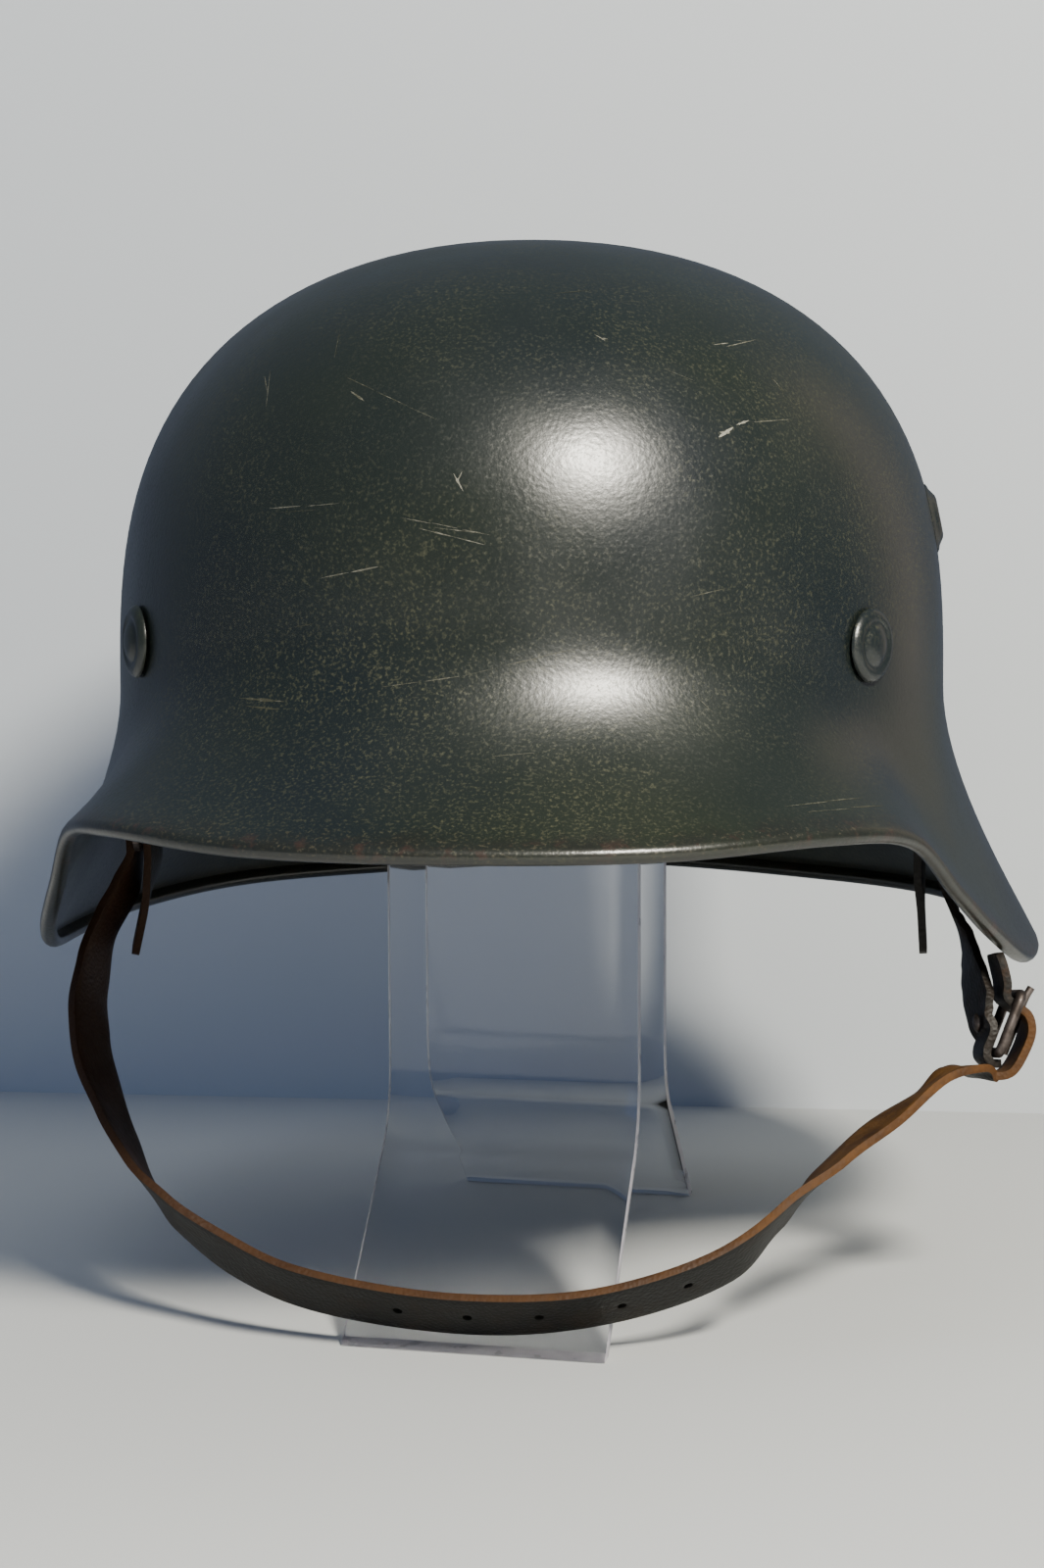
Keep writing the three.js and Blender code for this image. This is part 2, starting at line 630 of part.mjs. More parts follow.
// The short strap ends in a hook round the lower bar.
function hookStations() {
  const radius = BUCKLE_WIRE + 1.3 * GAP + STRAP_THICK / 2;
  const wrap = [0, 45, 90, 135].map((degrees) => {
    const a = radians(degrees);
    return { place: buckleSpot(-radius * Math.sin(a), -radius * Math.cos(a)), wide: buckleBar };
  });
  return [{ place: buckleSpot(HOOK_TAIL, -radius - GAP * 0.3), wide: buckleBar }, ...wrap];
}

function longStrap() {
  const fold = foldStations(-1, TIPS.right);
  const stations = [...fold, ...tableStations(LONG_STRAP), ...buckleStations()];
  const strap = toSolid(ribbonGeometry(stations, 2));
  // The prong's hole
  const hole = toSolid(wireGeometry(prongPlaces.slice(1), PRONG_RADIUS + GAP, 8));
  return toGeometry(strap.subtract(hole));
}

const shortStations = [
  ...foldStations(1, TIPS.left),
  ...tableStations(SHORT_STRAP),
  ...hookStations(),
];

// Small domed stud on the short strap's outer face, above the buckle.
function studGeometry() {
  const { centre, thick } = strapPath(shortStations)(STUD_STATION / (shortStations.length - 1));
  const normal = thick.clone().multiplyScalar(-1);
  const foot = STRAP_THICK / 2 + 1.5 * GAP;
  const stud = lathe([[0, 0], [STUD_RADIUS, 0], [STUD_RADIUS, 0.4], [STUD_RADIUS * 0.6, 1], [0, 1.2]], 16);
  return place(stud, { point: centre.addScaledVector(normal, foot), normal });
}

// Stand: one sheet bent into an upside-down U whose legs flare out into two feet.
function standGeometry() {
  const lean = Math.tan(radians(STAND_SKEW));
  const yaw = Math.tan(radians(STAND_TURN));
  const flat = LEG_OFFSET - TOP_RADIUS;
  const corner = Math.hypot(
    STAND_WIDTH / 2 + flat * yaw + Math.abs(STAND_X),
    flat + (STAND_WIDTH / 2) * lean + Math.abs(STAND_Y),
  );
  const turn = Math.asin((corner / SKULL_HALF_WIDTH) ** (SIDE_POWER / 2));
  const seat = WAIST + (CROWN_HEIGHT - WAIST) * Math.cos(turn) ** (2 / CROWN_POWER);
  const top = seat - STEEL - GAP;
  const path = [new THREE.Vector2(0, top)];
  for (let i = 0; i <= BEND_STEPS; i++) {
    const a = (i * Math.PI) / 2 / BEND_STEPS;
    const y = flat + TOP_RADIUS * Math.sin(a);
    path.push(new THREE.Vector2(y, top - TOP_RADIUS + TOP_RADIUS * Math.cos(a)));
  }
  const foot = new THREE.Vector2(FOOT_OFFSET, -STAND_DEPTH);
  const kneeAt = (a) =>
    new THREE.Vector2(
      LEG_OFFSET + KNEE_RADIUS * (1 - Math.cos(a)),
      KNEE_HEIGHT - KNEE_RADIUS * Math.sin(a),
    );
  let bend = 1;
  for (let i = 0; i < 30; i++) {
    const end = kneeAt(bend);
    bend = Math.atan2(foot.x - end.x, end.y - foot.y);
  }
  for (let i = 0; i <= BEND_STEPS; i++) path.push(kneeAt((bend * i) / BEND_STEPS));
  path.push(foot);
  const faces = [0, 1].map((depth) =>
    path.map((p, i) => {
      const before = path[Math.max(i - 1, 0)];
      const after = path[Math.min(i + 1, path.length - 1)];
      const along = after.clone().sub(before).normalize();
      if (i === 0) along.set(1, 0);
      const moved = p.clone().add(new THREE.Vector2(along.y, -along.x).multiplyScalar(depth * SHEET));
      // The sheet's end is cut level, so that it lies flat on the table.
      if (i === path.length - 1) moved.addScaledVector(along, (-STAND_DEPTH - moved.y) / along.y);
      return moved;
    }),
  );
  const mirrored = (list) => list.slice(1).map((p) => new THREE.Vector2(-p.x, p.y));
  const outline = new THREE.Shape([
    ...faces[1].slice().reverse(),
    ...mirrored(faces[1]),
    ...mirrored(faces[0]).reverse(),
    ...faces[0],
  ]);
  const sheet = new THREE.ExtrudeGeometry(outline, { depth: STAND_WIDTH, bevelEnabled: false });
  sheet.translate(0, 0, -STAND_WIDTH / 2).rotateX(Math.PI / 2).rotateZ(Math.PI / 2);
  const skew = new THREE.Matrix4().set(
    1, yaw, 0, STAND_X,
    -lean, 1, 0, STAND_Y,
    0, 0, 1, 0,
    0, 0, 0, 1,
  );
  return sheet.applyMatrix4(skew);
}

const paint = { color: 0x2c302b, roughness: 0.42, metalness: 0.15 };
const steel = { color: 0x4a443c, roughness: 0.5, metalness: 0.8 };
const leather = { color: 0x2f1a0f, roughness: 0.62, metalness: 0 };
const clear = { color: 0xdfe6ea, roughness: 0.05, metalness: 0, transparent: true, opacity: 0.25 };

const group = new THREE.Group();
group.name = "steel_helmet_on_stand";
function add(name, geometry, look) {
  const mesh = new THREE.Mesh(geometry, new THREE.MeshStandardMaterial(look));
  mesh.name = name;
  group.add(mesh);
}

add("helmet_shell", cutShell(), paint);
for (const [name, spot] of Object.entries(rivetSpots)) {
  add(name, place(rivetGeometry(), spot), paint);
}
add("strap_hanger_left", hangerGeometry(1), steel);
add("strap_hanger_right", hangerGeometry(-1), steel);
add("chin_strap_long", longStrap(), leather);
add("chin_strap_short", ribbonGeometry(shortStations, 2), leather);
add("buckle_frame", buckleGeometry(), steel);
add("buckle_prong", wireGeometry(prongPlaces, PRONG_RADIUS, 12), steel);
add("strap_stud", studGeometry(), steel);
add("display_stand", standGeometry(), clear);

// The origin is the middle of the whole thing's footprint, on the table.
const box = new THREE.Box3().setFromObject(group);
const middle = box.getCenter(new THREE.Vector3());
group.position.set(-middle.x, -middle.y, -box.min.z);

export default group;
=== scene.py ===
# %% [markdown]
# # A pressed steel helmet on a clear stand
# The helmet is one sheet of steel, pressed into a dome, flared over the ears and neck and rolled back on
# itself along its edge. It is painted dark grey-green, three rivets go through it, and each side has a
# vent. A leather strap hangs below, fastened by a small buckle, and a bent sheet of clear plastic holds
# it all up. Every piece is made in metres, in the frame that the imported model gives, so nothing has to be
# fitted later.

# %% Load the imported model
import math
import random

import bpy
from mathutils import Matrix, Vector
from mathutils.bvhtree import BVHTree


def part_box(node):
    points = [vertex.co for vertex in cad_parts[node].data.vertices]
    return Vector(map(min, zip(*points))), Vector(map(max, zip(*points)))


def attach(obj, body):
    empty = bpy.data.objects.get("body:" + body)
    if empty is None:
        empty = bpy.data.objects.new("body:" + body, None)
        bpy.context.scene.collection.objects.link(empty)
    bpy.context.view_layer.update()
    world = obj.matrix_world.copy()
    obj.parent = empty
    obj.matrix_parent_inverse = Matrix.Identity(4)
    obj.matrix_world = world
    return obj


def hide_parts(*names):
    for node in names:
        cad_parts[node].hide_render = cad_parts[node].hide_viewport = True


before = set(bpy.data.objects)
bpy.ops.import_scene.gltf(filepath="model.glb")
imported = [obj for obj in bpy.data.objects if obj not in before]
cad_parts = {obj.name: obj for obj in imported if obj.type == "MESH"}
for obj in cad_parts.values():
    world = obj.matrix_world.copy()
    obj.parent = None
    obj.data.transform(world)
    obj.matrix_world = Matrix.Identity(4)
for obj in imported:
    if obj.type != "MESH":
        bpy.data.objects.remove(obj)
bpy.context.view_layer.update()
MM = 0.001
print("nodes:", sorted(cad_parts))

# %% [markdown]
# ## The camera
# The camera looks along the helmet's own front, a little from its left side and slightly down. Its place
# and lens were worked out from the outline in the photograph.

# %% Camera
PHOTO_WIDTH = 1065
PHOTO_HEIGHT = 1600
SENSOR = 36.0
LENS = 84.87
CAMERA_PLACE = Vector((0.1101, -0.8679, 0.2143))
CAMERA_ANGLES = (83.66, 0.25, 7.37)  # degrees about X, Y and Z

bpy.ops.object.camera_add(location=CAMERA_PLACE)
camera = bpy.context.object
camera.name = "photo_camera"
camera.rotation_euler = [math.radians(angle) for angle in CAMERA_ANGLES]
camera.data.lens = LENS
camera.data.sensor_width = SENSOR
bpy.context.scene.camera = camera
bpy.context.view_layer.update()
print("camera at", tuple(round(v, 3) for v in camera.location))


def ray_through(pixel):
    """Direction from the camera through a pixel of the photograph."""
    x, y = pixel
    long_side = PHOTO_HEIGHT * LENS / SENSOR
    local = Vector(((x - PHOTO_WIDTH / 2) / long_side, (PHOTO_HEIGHT / 2 - y) / long_side, -1.0))
    return (camera.matrix_world.to_3x3() @ local).normalized()


# %% [markdown]
# ## Small helpers
# Each new piece starts from a primitive. These helpers add one with nothing else selected, and leave each
# finished piece with its object at the origin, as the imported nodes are.

# %% Helpers for every piece
SHARP_ANGLE = 50  # edges that turn more than this are rounded, in degrees


def deselect():
    if bpy.context.object and bpy.context.object.mode != "OBJECT":
        bpy.ops.object.mode_set(mode="OBJECT")
    bpy.ops.object.select_all(action="DESELECT")


def make_active(piece):
    deselect()
    piece.select_set(True)
    bpy.context.view_layer.objects.active = piece


def settle(piece, matrix=None):
    """Applies the place of a piece, after an optional move."""
    make_active(piece)
    if matrix is not None:
        piece.matrix_world = matrix @ piece.matrix_world
    bpy.ops.object.transform_apply(location=True, rotation=True, scale=True)
    return piece


def apply_modifiers(piece):
    make_active(piece)
    for modifier in list(piece.modifiers):
        bpy.ops.object.modifier_apply(modifier=modifier.name)


def edit_all(piece):
    """Opens a piece for editing with everything selected."""
    make_active(piece)
    bpy.ops.object.mode_set(mode="EDIT")
    bpy.ops.mesh.select_all(action="SELECT")


def end_edit():
    """Turns every face outwards and closes the editing."""
    bpy.ops.mesh.select_all(action="SELECT")
    bpy.ops.mesh.normals_make_consistent(inside=False)
    bpy.ops.object.mode_set(mode="OBJECT")


def join(members):
    deselect()
    for member in members:
        member.select_set(True)
    bpy.context.view_layer.objects.active = members[0]
    bpy.ops.object.join()
    return settle(bpy.context.object)


def cut_out(piece, tool):
    """Takes a tool's shape out of a piece, and the tool away."""
    cut = piece.modifiers.new("cut", "BOOLEAN")
    cut.operation = "DIFFERENCE"
    cut.solver = "EXACT"
    cut.object = tool
    apply_modifiers(piece)
    bpy.data.objects.remove(tool)


def soften(piece, width):
    """Rounds the sharp edges of a piece over a width in millimetres."""
    edge = piece.modifiers.new("soft edge", "BEVEL")
    edge.width = width * MM
    edge.segments = 2
    edge.limit_method = "ANGLE"
    edge.angle_limit = math.radians(SHARP_ANGLE)
    apply_modifiers(piece)


def grid_sheet(name, columns, rows, spot):
    """A grid whose point in column i and row j is moved to spot(i, j), with each point's (i, j)."""
    deselect()
    bpy.ops.mesh.primitive_grid_add(x_subdivisions=columns, y_subdivisions=rows, size=2, calc_uvs=True)
    sheet = bpy.context.object
    sheet.name = name
    cells = []
    for vertex in sheet.data.vertices:
        cell = (round((vertex.co.x + 1) / 2 * columns), round((vertex.co.y + 1) / 2 * rows))
        cells.append(cell)
        vertex.co = spot(*cell)
    return sheet, cells


def turned_piece(name, rows, sides=48):
    """A round piece about Z: rows of (radius, height) in millimetres, from the bottom cap to the top."""
    deselect()
    rows = [(r * MM, h * MM) for r, h in rows]
    radius, height = rows[0]
    bpy.ops.mesh.primitive_circle_add(
        vertices=sides, radius=radius, fill_type="NGON", location=(0, 0, height)
    )
    piece = bpy.context.object
    piece.name = name
    edit_all(piece)
    for (before, low), (after, high) in zip(rows, rows[1:]):
        bpy.ops.mesh.extrude_region_move(TRANSFORM_OT_translate={"value": (0, 0, high - low)})
        share = after / before
        bpy.ops.transform.resize(value=(share, share, 1), center_override=(0, 0, high))
    end_edit()
    return settle(piece)


def smooth(piece, degrees):
    """Shades a piece smooth wherever it bends less than an angle, and prints its triangles."""
    make_active(piece)
    bpy.ops.object.shade_smooth_by_angle(angle=math.radians(degrees))
    piece.data.calc_loop_triangles()
    print(piece.name, len(piece.data.loop_triangles), "triangles")


# %% [markdown]
# ## Sizes of the shell
# The steel was pressed over a form, so its outline is smooth from crown to rim. The dome is a little
# squarer than an ellipse. Below it the wall turns out into the visor, the side flares and the neck guard,
# and a table gives the reach, the height and the slope of that edge round the head, as shares of the
# visor's.

# %% Sizes of the shell, in millimetres
SKULL_HALF_WIDTH = 97.0
SKULL_FRONT = 112.0
SKULL_REAR = 117.0
WAIST = 68.5
WAIST_RISE = 21.5
CROWN_HEIGHT = 172.8
SIDE_POWER = 2.17
CROWN_POWER = 2.83
STEEL = 1.2
ROLL = 2.0
ROLL_TURN = 1.25 * math.pi  # how far round the edge is rolled
VISOR_OVERHANG = 32.9
VISOR_LIFT = 41.3
RIM_BASE = 4.6
FLARE_PULL = 0.85
FRONT_EASE = 0.42
RIM = [
    dict(zip(("azimuth", "overhang", "lift", "slope", "waist"), row))
    for row in (
        (0, 1, 1, 27, 1),
        (17.5, 1.033, 1.005, 27, 0.96),
        (34.5, 0.873, 1.015, 30, 0.7),
        (47.7, 0.652, 0.915, 37, 0.36),
        (58.6, 0.536, 0.586, 48, 0.13),
        (70, 0.531, 0.288, 57, 0.02),
        (84, 0.58, 0.06, 62, 0),
        (99.7, 0.681, 0, 63, 0),
        (118.8, 0.836, 0.02, 60, 0.02),
        (137.5, 0.935, 0.05, 57, 0.12),
        (157, 0.864, 0.058, 55, 0.25),
        (180, 0.711, 0.1, 54, 0.3),
    )
]


def hermite(start, end, leave, arrive, s):
    """Smooth cubic from start to end, with the slopes that it leaves and arrives with."""
    return (
        start * (2 * s**3 - 3 * s**2 + 1)
        + leave * (s**3 - 2 * s**2 + s)
        + end * (3 * s**2 - 2 * s**3)
        + arrive * (s**3 - s**2)
    )


def rim_value(key, azimuth):
    """Value of a column of the rim's table at an azimuth."""
    last = len(RIM) - 1
    azimuth = min(abs(azimuth), RIM[last]["azimuth"])
    row = max(1, next(i for i, entry in enumerate(RIM) if entry["azimuth"] >= azimuth))

    def slope_at(k):
        if k <= 0 or k >= last:
            return 0.0
        span = RIM[k + 1]["azimuth"] - RIM[k - 1]["azimuth"]
        return (RIM[k + 1][key] - RIM[k - 1][key]) / span

    before, after = RIM[row - 1], RIM[row]
    span = after["azimuth"] - before["azimuth"]
    share = (azimuth - before["azimuth"]) / span
    return hermite(before[key], after[key], slope_at(row - 1) * span, slope_at(row) * span, share)


def wall_radius(azimuth):
    across = math.sin(math.radians(azimuth)) / SKULL_HALF_WIDTH
    along = math.cos(math.radians(azimuth))
    along /= SKULL_FRONT if along > 0 else SKULL_REAR
    return 1 / math.hypot(across, along)


def waist_height(azimuth):
    return WAIST + rim_value("waist", azimuth) * WAIST_RISE


def skull_profile(azimuth, turn):
    """(distance from the axis, height) of the dome: turn 0 is the crown, 1 the waist."""
    angle = turn * math.pi / 2
    waist = waist_height(azimuth)
    height = waist + (CROWN_HEIGHT - waist) * max(math.cos(angle), 0) ** (2 / CROWN_POWER)
    return Vector((wall_radius(azimuth) * math.sin(angle) ** (2 / SIDE_POWER), height))


def rim_end(azimuth):
    """Centre of the rolled edge, the sheet's direction there and the normal of its outer face."""
    slope = math.radians(rim_value("slope", azimuth))
    run = Vector((math.cos(slope), -math.sin(slope)))
    face = Vector((math.sin(slope), math.cos(slope)))
    reach = wall_radius(azimuth) + rim_value("overhang", azimuth) * VISOR_OVERHANG
    centre = Vector((reach, RIM_BASE + rim_value("lift", azimuth) * VISOR_LIFT))
    return centre, run, face


def flare_profile(azimuth, s):
    """(distance from the axis, height) of the flare: 0 is the waist, 1 the rolled edge."""
    centre, run, face = rim_end(azimuth)
    start = skull_profile(azimuth, 1)
    end = centre + face * ROLL
    pull = (end - start).length * FLARE_PULL
    ease = 1 + rim_value("waist", azimuth) * FRONT_EASE
    return hermite(start, end, Vector((0, -pull * ease)), run * pull, s)


def inner_point(profile, azimuth, s):
    """The profile's point moved inwards by the thickness of the steel."""
    step = 1e-3
    along = profile(azimuth, min(s + step, 1)) - profile(azimuth, max(s - step, 0))
    along.normalize()
    return profile(azimuth, s) + Vector((along.y, -along.x)) * STEEL


# %% [markdown]
# ## The shell
# A grid is the natural start for a pressed sheet: one side runs round the head and the other from the
# crown down the outer face, round the rolled edge and back up the inner face. Its points are moved to the
# section at their azimuth, the seam and the two crowns are merged, and the drilled holes are cut with a
# Boolean.

# %% The shell's sheet
ROUND_STEPS = 192
DOME_RINGS = 34
FLARE_RINGS = 16
ROLL_STEPS = 9
RING_SPREAD = 1.2  # above 1, the dome's rings lie closer together towards the waist
MERGE_DISTANCE = 1e-6
WEAR_BAND = 9.0  # how far the worn edge reaches up the sheet, in millimetres


def shell_section(azimuth):
    """Closed section as (point, wear), where wear is 1 on the rolled edge and 0 away from it."""
    centre, run, face = rim_end(azimuth)
    section = []

    def put(point, on_edge=False):
        distance = 0 if on_edge else (point - centre).length - ROLL
        section.append((point, max(0.0, 1 - max(distance, 0) / WEAR_BAND)))

    turns = [1 - (1 - i / DOME_RINGS) ** RING_SPREAD for i in range(DOME_RINGS + 1)]
    for turn in turns:
        put(skull_profile(azimuth, turn))
    for i in range(1, FLARE_RINGS + 1):
        put(flare_profile(azimuth, i / FLARE_RINGS))
    for i in range(1, ROLL_STEPS + 1):
        angle = ROLL_TURN * i / ROLL_STEPS
        put(centre + face * ROLL * math.cos(angle) + run * ROLL * math.sin(angle), True)
    back = math.sqrt(ROLL**2 - (ROLL - STEEL) ** 2)
    put(centre + face * (ROLL - STEEL) - run * back, True)
    for i in range(FLARE_RINGS - 1, 0, -1):
        put(inner_point(flare_profile, azimuth, i / FLARE_RINGS))
    for turn in reversed(turns[1:]):
        put(inner_point(skull_profile, azimuth, turn))
    put(Vector((0, CROWN_HEIGHT - STEEL)))
    return section


def outward(azimuth):
    """Unit vector from the helmet's axis towards an azimuth, 0 at the visor and 90 at the left side."""
    return Vector((math.sin(math.radians(azimuth)), -math.cos(math.radians(azimuth)), 0))


def signed(azimuth):
    return azimuth - 360 if azimuth > 180 else azimuth


shell_low, shell_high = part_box("helmet_shell")
FRONT_REACH = SKULL_FRONT + VISOR_OVERHANG + ROLL
AXIS_SHIFT = Vector((0, shell_low.y + FRONT_REACH * MM, shell_high.z - CROWN_HEIGHT * MM))


def in_frame(point):
    """A point in millimetres from the helmet's own axis and level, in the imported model's frame."""
    return point * MM + AXIS_SHIFT


sections = [shell_section(signed(360 * k / ROUND_STEPS)) for k in range(ROUND_STEPS)]
half_breadth = max(
    point.x * outward(360 * k / ROUND_STEPS).x for k, rows in enumerate(sections) for point, mark in rows
)
breadth_share = min(1, (shell_high.x - shell_low.x) / 2 / MM / half_breadth)
shell_front = max(point.x for point, mark in sections[0])
shell_rear = max(
    point.x * outward(360 * k / ROUND_STEPS).y for k, rows in enumerate(sections) for point, mark in rows
)
length_share = min(1, (shell_high.y - shell_low.y) / MM / (shell_front + shell_rear))


def shell_spot(i, j):
    point = sections[i % ROUND_STEPS][j][0]
    out = outward(360 * i / ROUND_STEPS) * point.x
    back = (out.y + shell_front) * length_share - FRONT_REACH
    return in_frame(Vector((out.x * breadth_share, back, point.y)))


shell, cells = grid_sheet("shell_paintwork", ROUND_STEPS, len(sections[0]) - 1, shell_spot)
wear = shell.data.attributes.new("wear", "FLOAT", "POINT")
for value, (i, j) in zip(wear.data, cells):
    value.value = sections[i % ROUND_STEPS][j][1]
edit_all(shell)
bpy.ops.mesh.remove_doubles(threshold=MERGE_DISTANCE)
end_edit()
print("shell's lowest corner off by", (Vector(shell.bound_box[0]) - shell_low) / MM)

# %% [markdown]
# ## Where the rivets and the vents go
# Both follow the curved wall, so each needs a point and the wall's normal there. The dome's own formula
# gives them, from an azimuth and a height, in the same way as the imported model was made.

# %% Spots on the dome
GAP = 0.35
VENT_Y = 5.0
VENT_HEIGHT = 107.7
RIVET_AZIMUTH = 53.5
RIVET_HEIGHT = 82.4
REAR_RIVET_HEIGHT = 88.0


def dome_matrix(azimuth, height):
    """Matrix that stands a piece made about Z on the dome, at an azimuth and a height."""
    waist = waist_height(azimuth)
    share = (height - waist) / (CROWN_HEIGHT - waist)
    turn = math.acos(share ** (CROWN_POWER / 2)) * 2 / math.pi

    def at(a, s):
        point = skull_profile(a, s)
        out = outward(a) * point.x
        return Vector((out.x, out.y, point.y))

    step = 0.01
    around = at(azimuth + step, turn) - at(azimuth - step, turn)
    down = at(azimuth, turn + step) - at(azimuth, turn - step)
    normal = down.cross(around).normalized()
    place = Matrix.Translation(in_frame(at(azimuth, turn)))
    return place @ normal.to_track_quat("Z", "Y").to_matrix().to_4x4()


vent_azimuth = 90 + math.degrees(math.atan2(VENT_Y, SKULL_HALF_WIDTH))
vent_places = {
    "left": dome_matrix(vent_azimuth, VENT_HEIGHT),
    "right": dome_matrix(-vent_azimuth, VENT_HEIGHT),
}
rivet_places = {
    "rivet_front_left": dome_matrix(RIVET_AZIMUTH, RIVET_HEIGHT),
    "rivet_front_right": dome_matrix(-RIVET_AZIMUTH, RIVET_HEIGHT),
    "rivet_rear": dome_matrix(180, REAR_RIVET_HEIGHT),
}

# %% [markdown]
# ## Drilled holes
# A drill is a plain cylinder that a Boolean modifier takes out of the sheet. The vents are drilled right
# through, and each rivet's shank gets its bore.

# %% Drill the shell
DRILL_LENGTH = 12.0
VENT_BORE = 3.6
RIVET_BORE = 2.5


def drill(piece, matrix, radius):
    deselect()
    bpy.ops.mesh.primitive_cylinder_add(vertices=40, radius=radius * MM, depth=DRILL_LENGTH * MM)
    cut_out(piece, settle(bpy.context.object, matrix))


for matrix in vent_places.values():
    drill(shell, matrix, VENT_BORE)
for matrix in rivet_places.values():
    drill(shell, matrix, RIVET_BORE)
smooth(shell, 50)

# %% [markdown]
# ## Vents and rivets
# A vent is a ring pressed up out of the sheet round its hole. A rivet is a thin domed disc with a ring
# turned into it, and its shank is clenched over inside. Both are round, so each starts as a flat circle
# that is extruded and resized row by row.

# %% Vents and rivets
VENT_ROWS = [(3.7, -1.3), (2.75, -0.9), (2.6, 0.3), (2.9, 1.05), (3.5, 1.5), (4.3, 1.62), (5.1, 1.4)]
VENT_ROWS += [(5.9, 0.85), (6.7, 0.3), (7.6, 0.02), (8.2, -0.35)]
RING_SHEET = 0.4  # thickness of a vent's ring
RIVET_ROWS = [(4.0, -3.07), (4.8, -2.8), (5.0, -2.4), (5.0, -1.97), (2.2, -1.97), (2.2, 0.35), (8.0, 0.35)]
RIVET_ROWS += [(8.2, 0.5), (8.15, 0.8), (7.9, 1.2), (7.3, 1.7), (6.6, 2.0), (5.9, 2.05), (5.4, 1.85)]
RIVET_ROWS += [(4.9, 1.75), (4.4, 1.95), (3.7, 2.4), (2.8, 2.75), (1.8, 2.95), (0.8, 3.05)]

painted = [shell]
for side, matrix in vent_places.items():
    ring = turned_piece("vent_ring_" + side, VENT_ROWS)
    edit_all(ring)
    bpy.ops.mesh.select_all(action="DESELECT")
    bpy.ops.mesh.select_face_by_sides(number=4, type="GREATER")
    bpy.ops.mesh.delete(type="ONLY_FACE")
    bpy.ops.object.mode_set(mode="OBJECT")
    ring.modifiers.new("sheet", "SOLIDIFY").thickness = RING_SHEET * MM
    apply_modifiers(ring)
    settle(ring, matrix)
    smooth(ring, 60)
    painted.append(ring)
for name, matrix in rivet_places.items():
    rivet = turned_piece(name + "_head", RIVET_ROWS, 64)
    settle(rivet, matrix)
    smooth(rivet, 40)
    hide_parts(name)
    painted.append(rivet)
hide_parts("helmet_shell")

# %% [markdown]
# ## The leather straps
# A strap is a flat ribbon whose middle line was read off the photograph, section by section, and whose
# width turns as it hangs. It is modelled directly: a long narrow grid is laid along the line, gets the
# leather's thickness from Solidify and softened edges from Bevel. The grid's own UV map then runs along
# the leather.

# %% Sizes of the straps, in millimetres
STRAP_WIDTH = 15.0
STRAP_THICK = 1.9
STRAP_SWING = 81.0
ROOM_SHARE = 4.79
STAND_DEPTH = 72.5
HANGER_Y = -6.0
HANGER_BAR_HEIGHT = 33.0
HANGER_THICK = 1.4
HANGER_ROOM = 3 * GAP  # between the shell and a hanger
LOOP_ROOM = 1.3 * GAP  # between a bar and the leather round it
BAR_DROP = 0.3  # how far the loop's middle is below the bar's
BUCKLE_WIRE = 1.2
BUCKLE_LENGTH = 14.2
PRONG_RADIUS = 0.9
BUCKLE_PLACE = (1.127, 0.3, 0.436)  # across, forward and down
TIPS = dict(left=dict(lean=-1.1, length=26.4, turn=1), right=dict(lean=2.5, length=29.4, turn=13))
# each row is across, forward and down as shares, and turn in degrees
LONG_STRAP = [
    (-1.012, 0.028, 0.13, 12),
    (-1.054, 0.071, 0.209, 10),
    (-1.069, 0.171, 0.312, 12),
    (-1.053, 0.3, 0.409, 12),
    (-1.008, 0.428, 0.502, 8),
    (-0.937, 0.557, 0.594, -3),
    (-0.854, 0.686, 0.682, -16),
    (-0.764, 0.771, 0.749, -32),
    (-0.602, 0.857, 0.828, -43),
    (-0.431, 0.929, 0.876, -45),
    (-0.042, 1.0, 0.909, -44),
    (0.275, 0.986, 0.884, -39),
    (0.545, 0.886, 0.805, -34),
    (0.655, 0.786, 0.722, -18),
    (0.764, 0.671, 0.634, 0),
    (0.874, 0.557, 0.561, 4),
    (0.985, 0.443, 0.496, -9),
    (1.06, 0.357, 0.466, -12),
]
# rise and outward place of the bend's stations, as shares of the buckle's length
BUCKLE_BEND = [(-0.4, -0.028), (-0.235, 0.3), (0.176, 0.4), (0.535, 0.38), (0.745, 0.235)]
BUCKLE_BEND += [(0.812, 0), (0.885, -0.18), (1.08, -0.25), (1.3, -0.39), (1.5, -0.54)]
SHORT_STRAP = [
    (1.0131, 0.0125, 0.1123, 0),
    (1.041, 0.046, 0.1784, -3),
    (1.0545, 0.074, 0.2078, -9),
    (1.0643, 0.105, 0.2368, -14),
    (1.0732, 0.148, 0.275, -20),
    (1.0854, 0.194, 0.3125, -27),
    (1.0988, 0.243, 0.3492, -28),
    (1.1084, 0.28, 0.3786, -22),
]

wall_share = math.sqrt(1 - (HANGER_Y / SKULL_FRONT) ** 2)
hanger_x = SKULL_HALF_WIDTH * wall_share - STEEL - HANGER_ROOM - HANGER_THICK / 2
hanger_tilt = math.atan(
    SKULL_HALF_WIDTH**2 * abs(HANGER_Y) / (SKULL_FRONT**2 * SKULL_HALF_WIDTH * wall_share)
)
strap_reach = hanger_x + HANGER_THICK / 2 + LOOP_ROOM + STRAP_THICK
rim_room = rim_end(90)[0].x - strap_reach
UP = Vector((0, 0, 1))
BACK = Vector((0, 1, 0))


def turn_about(vector, axis, degrees):
    return Matrix.Rotation(math.radians(degrees), 3, axis) @ vector


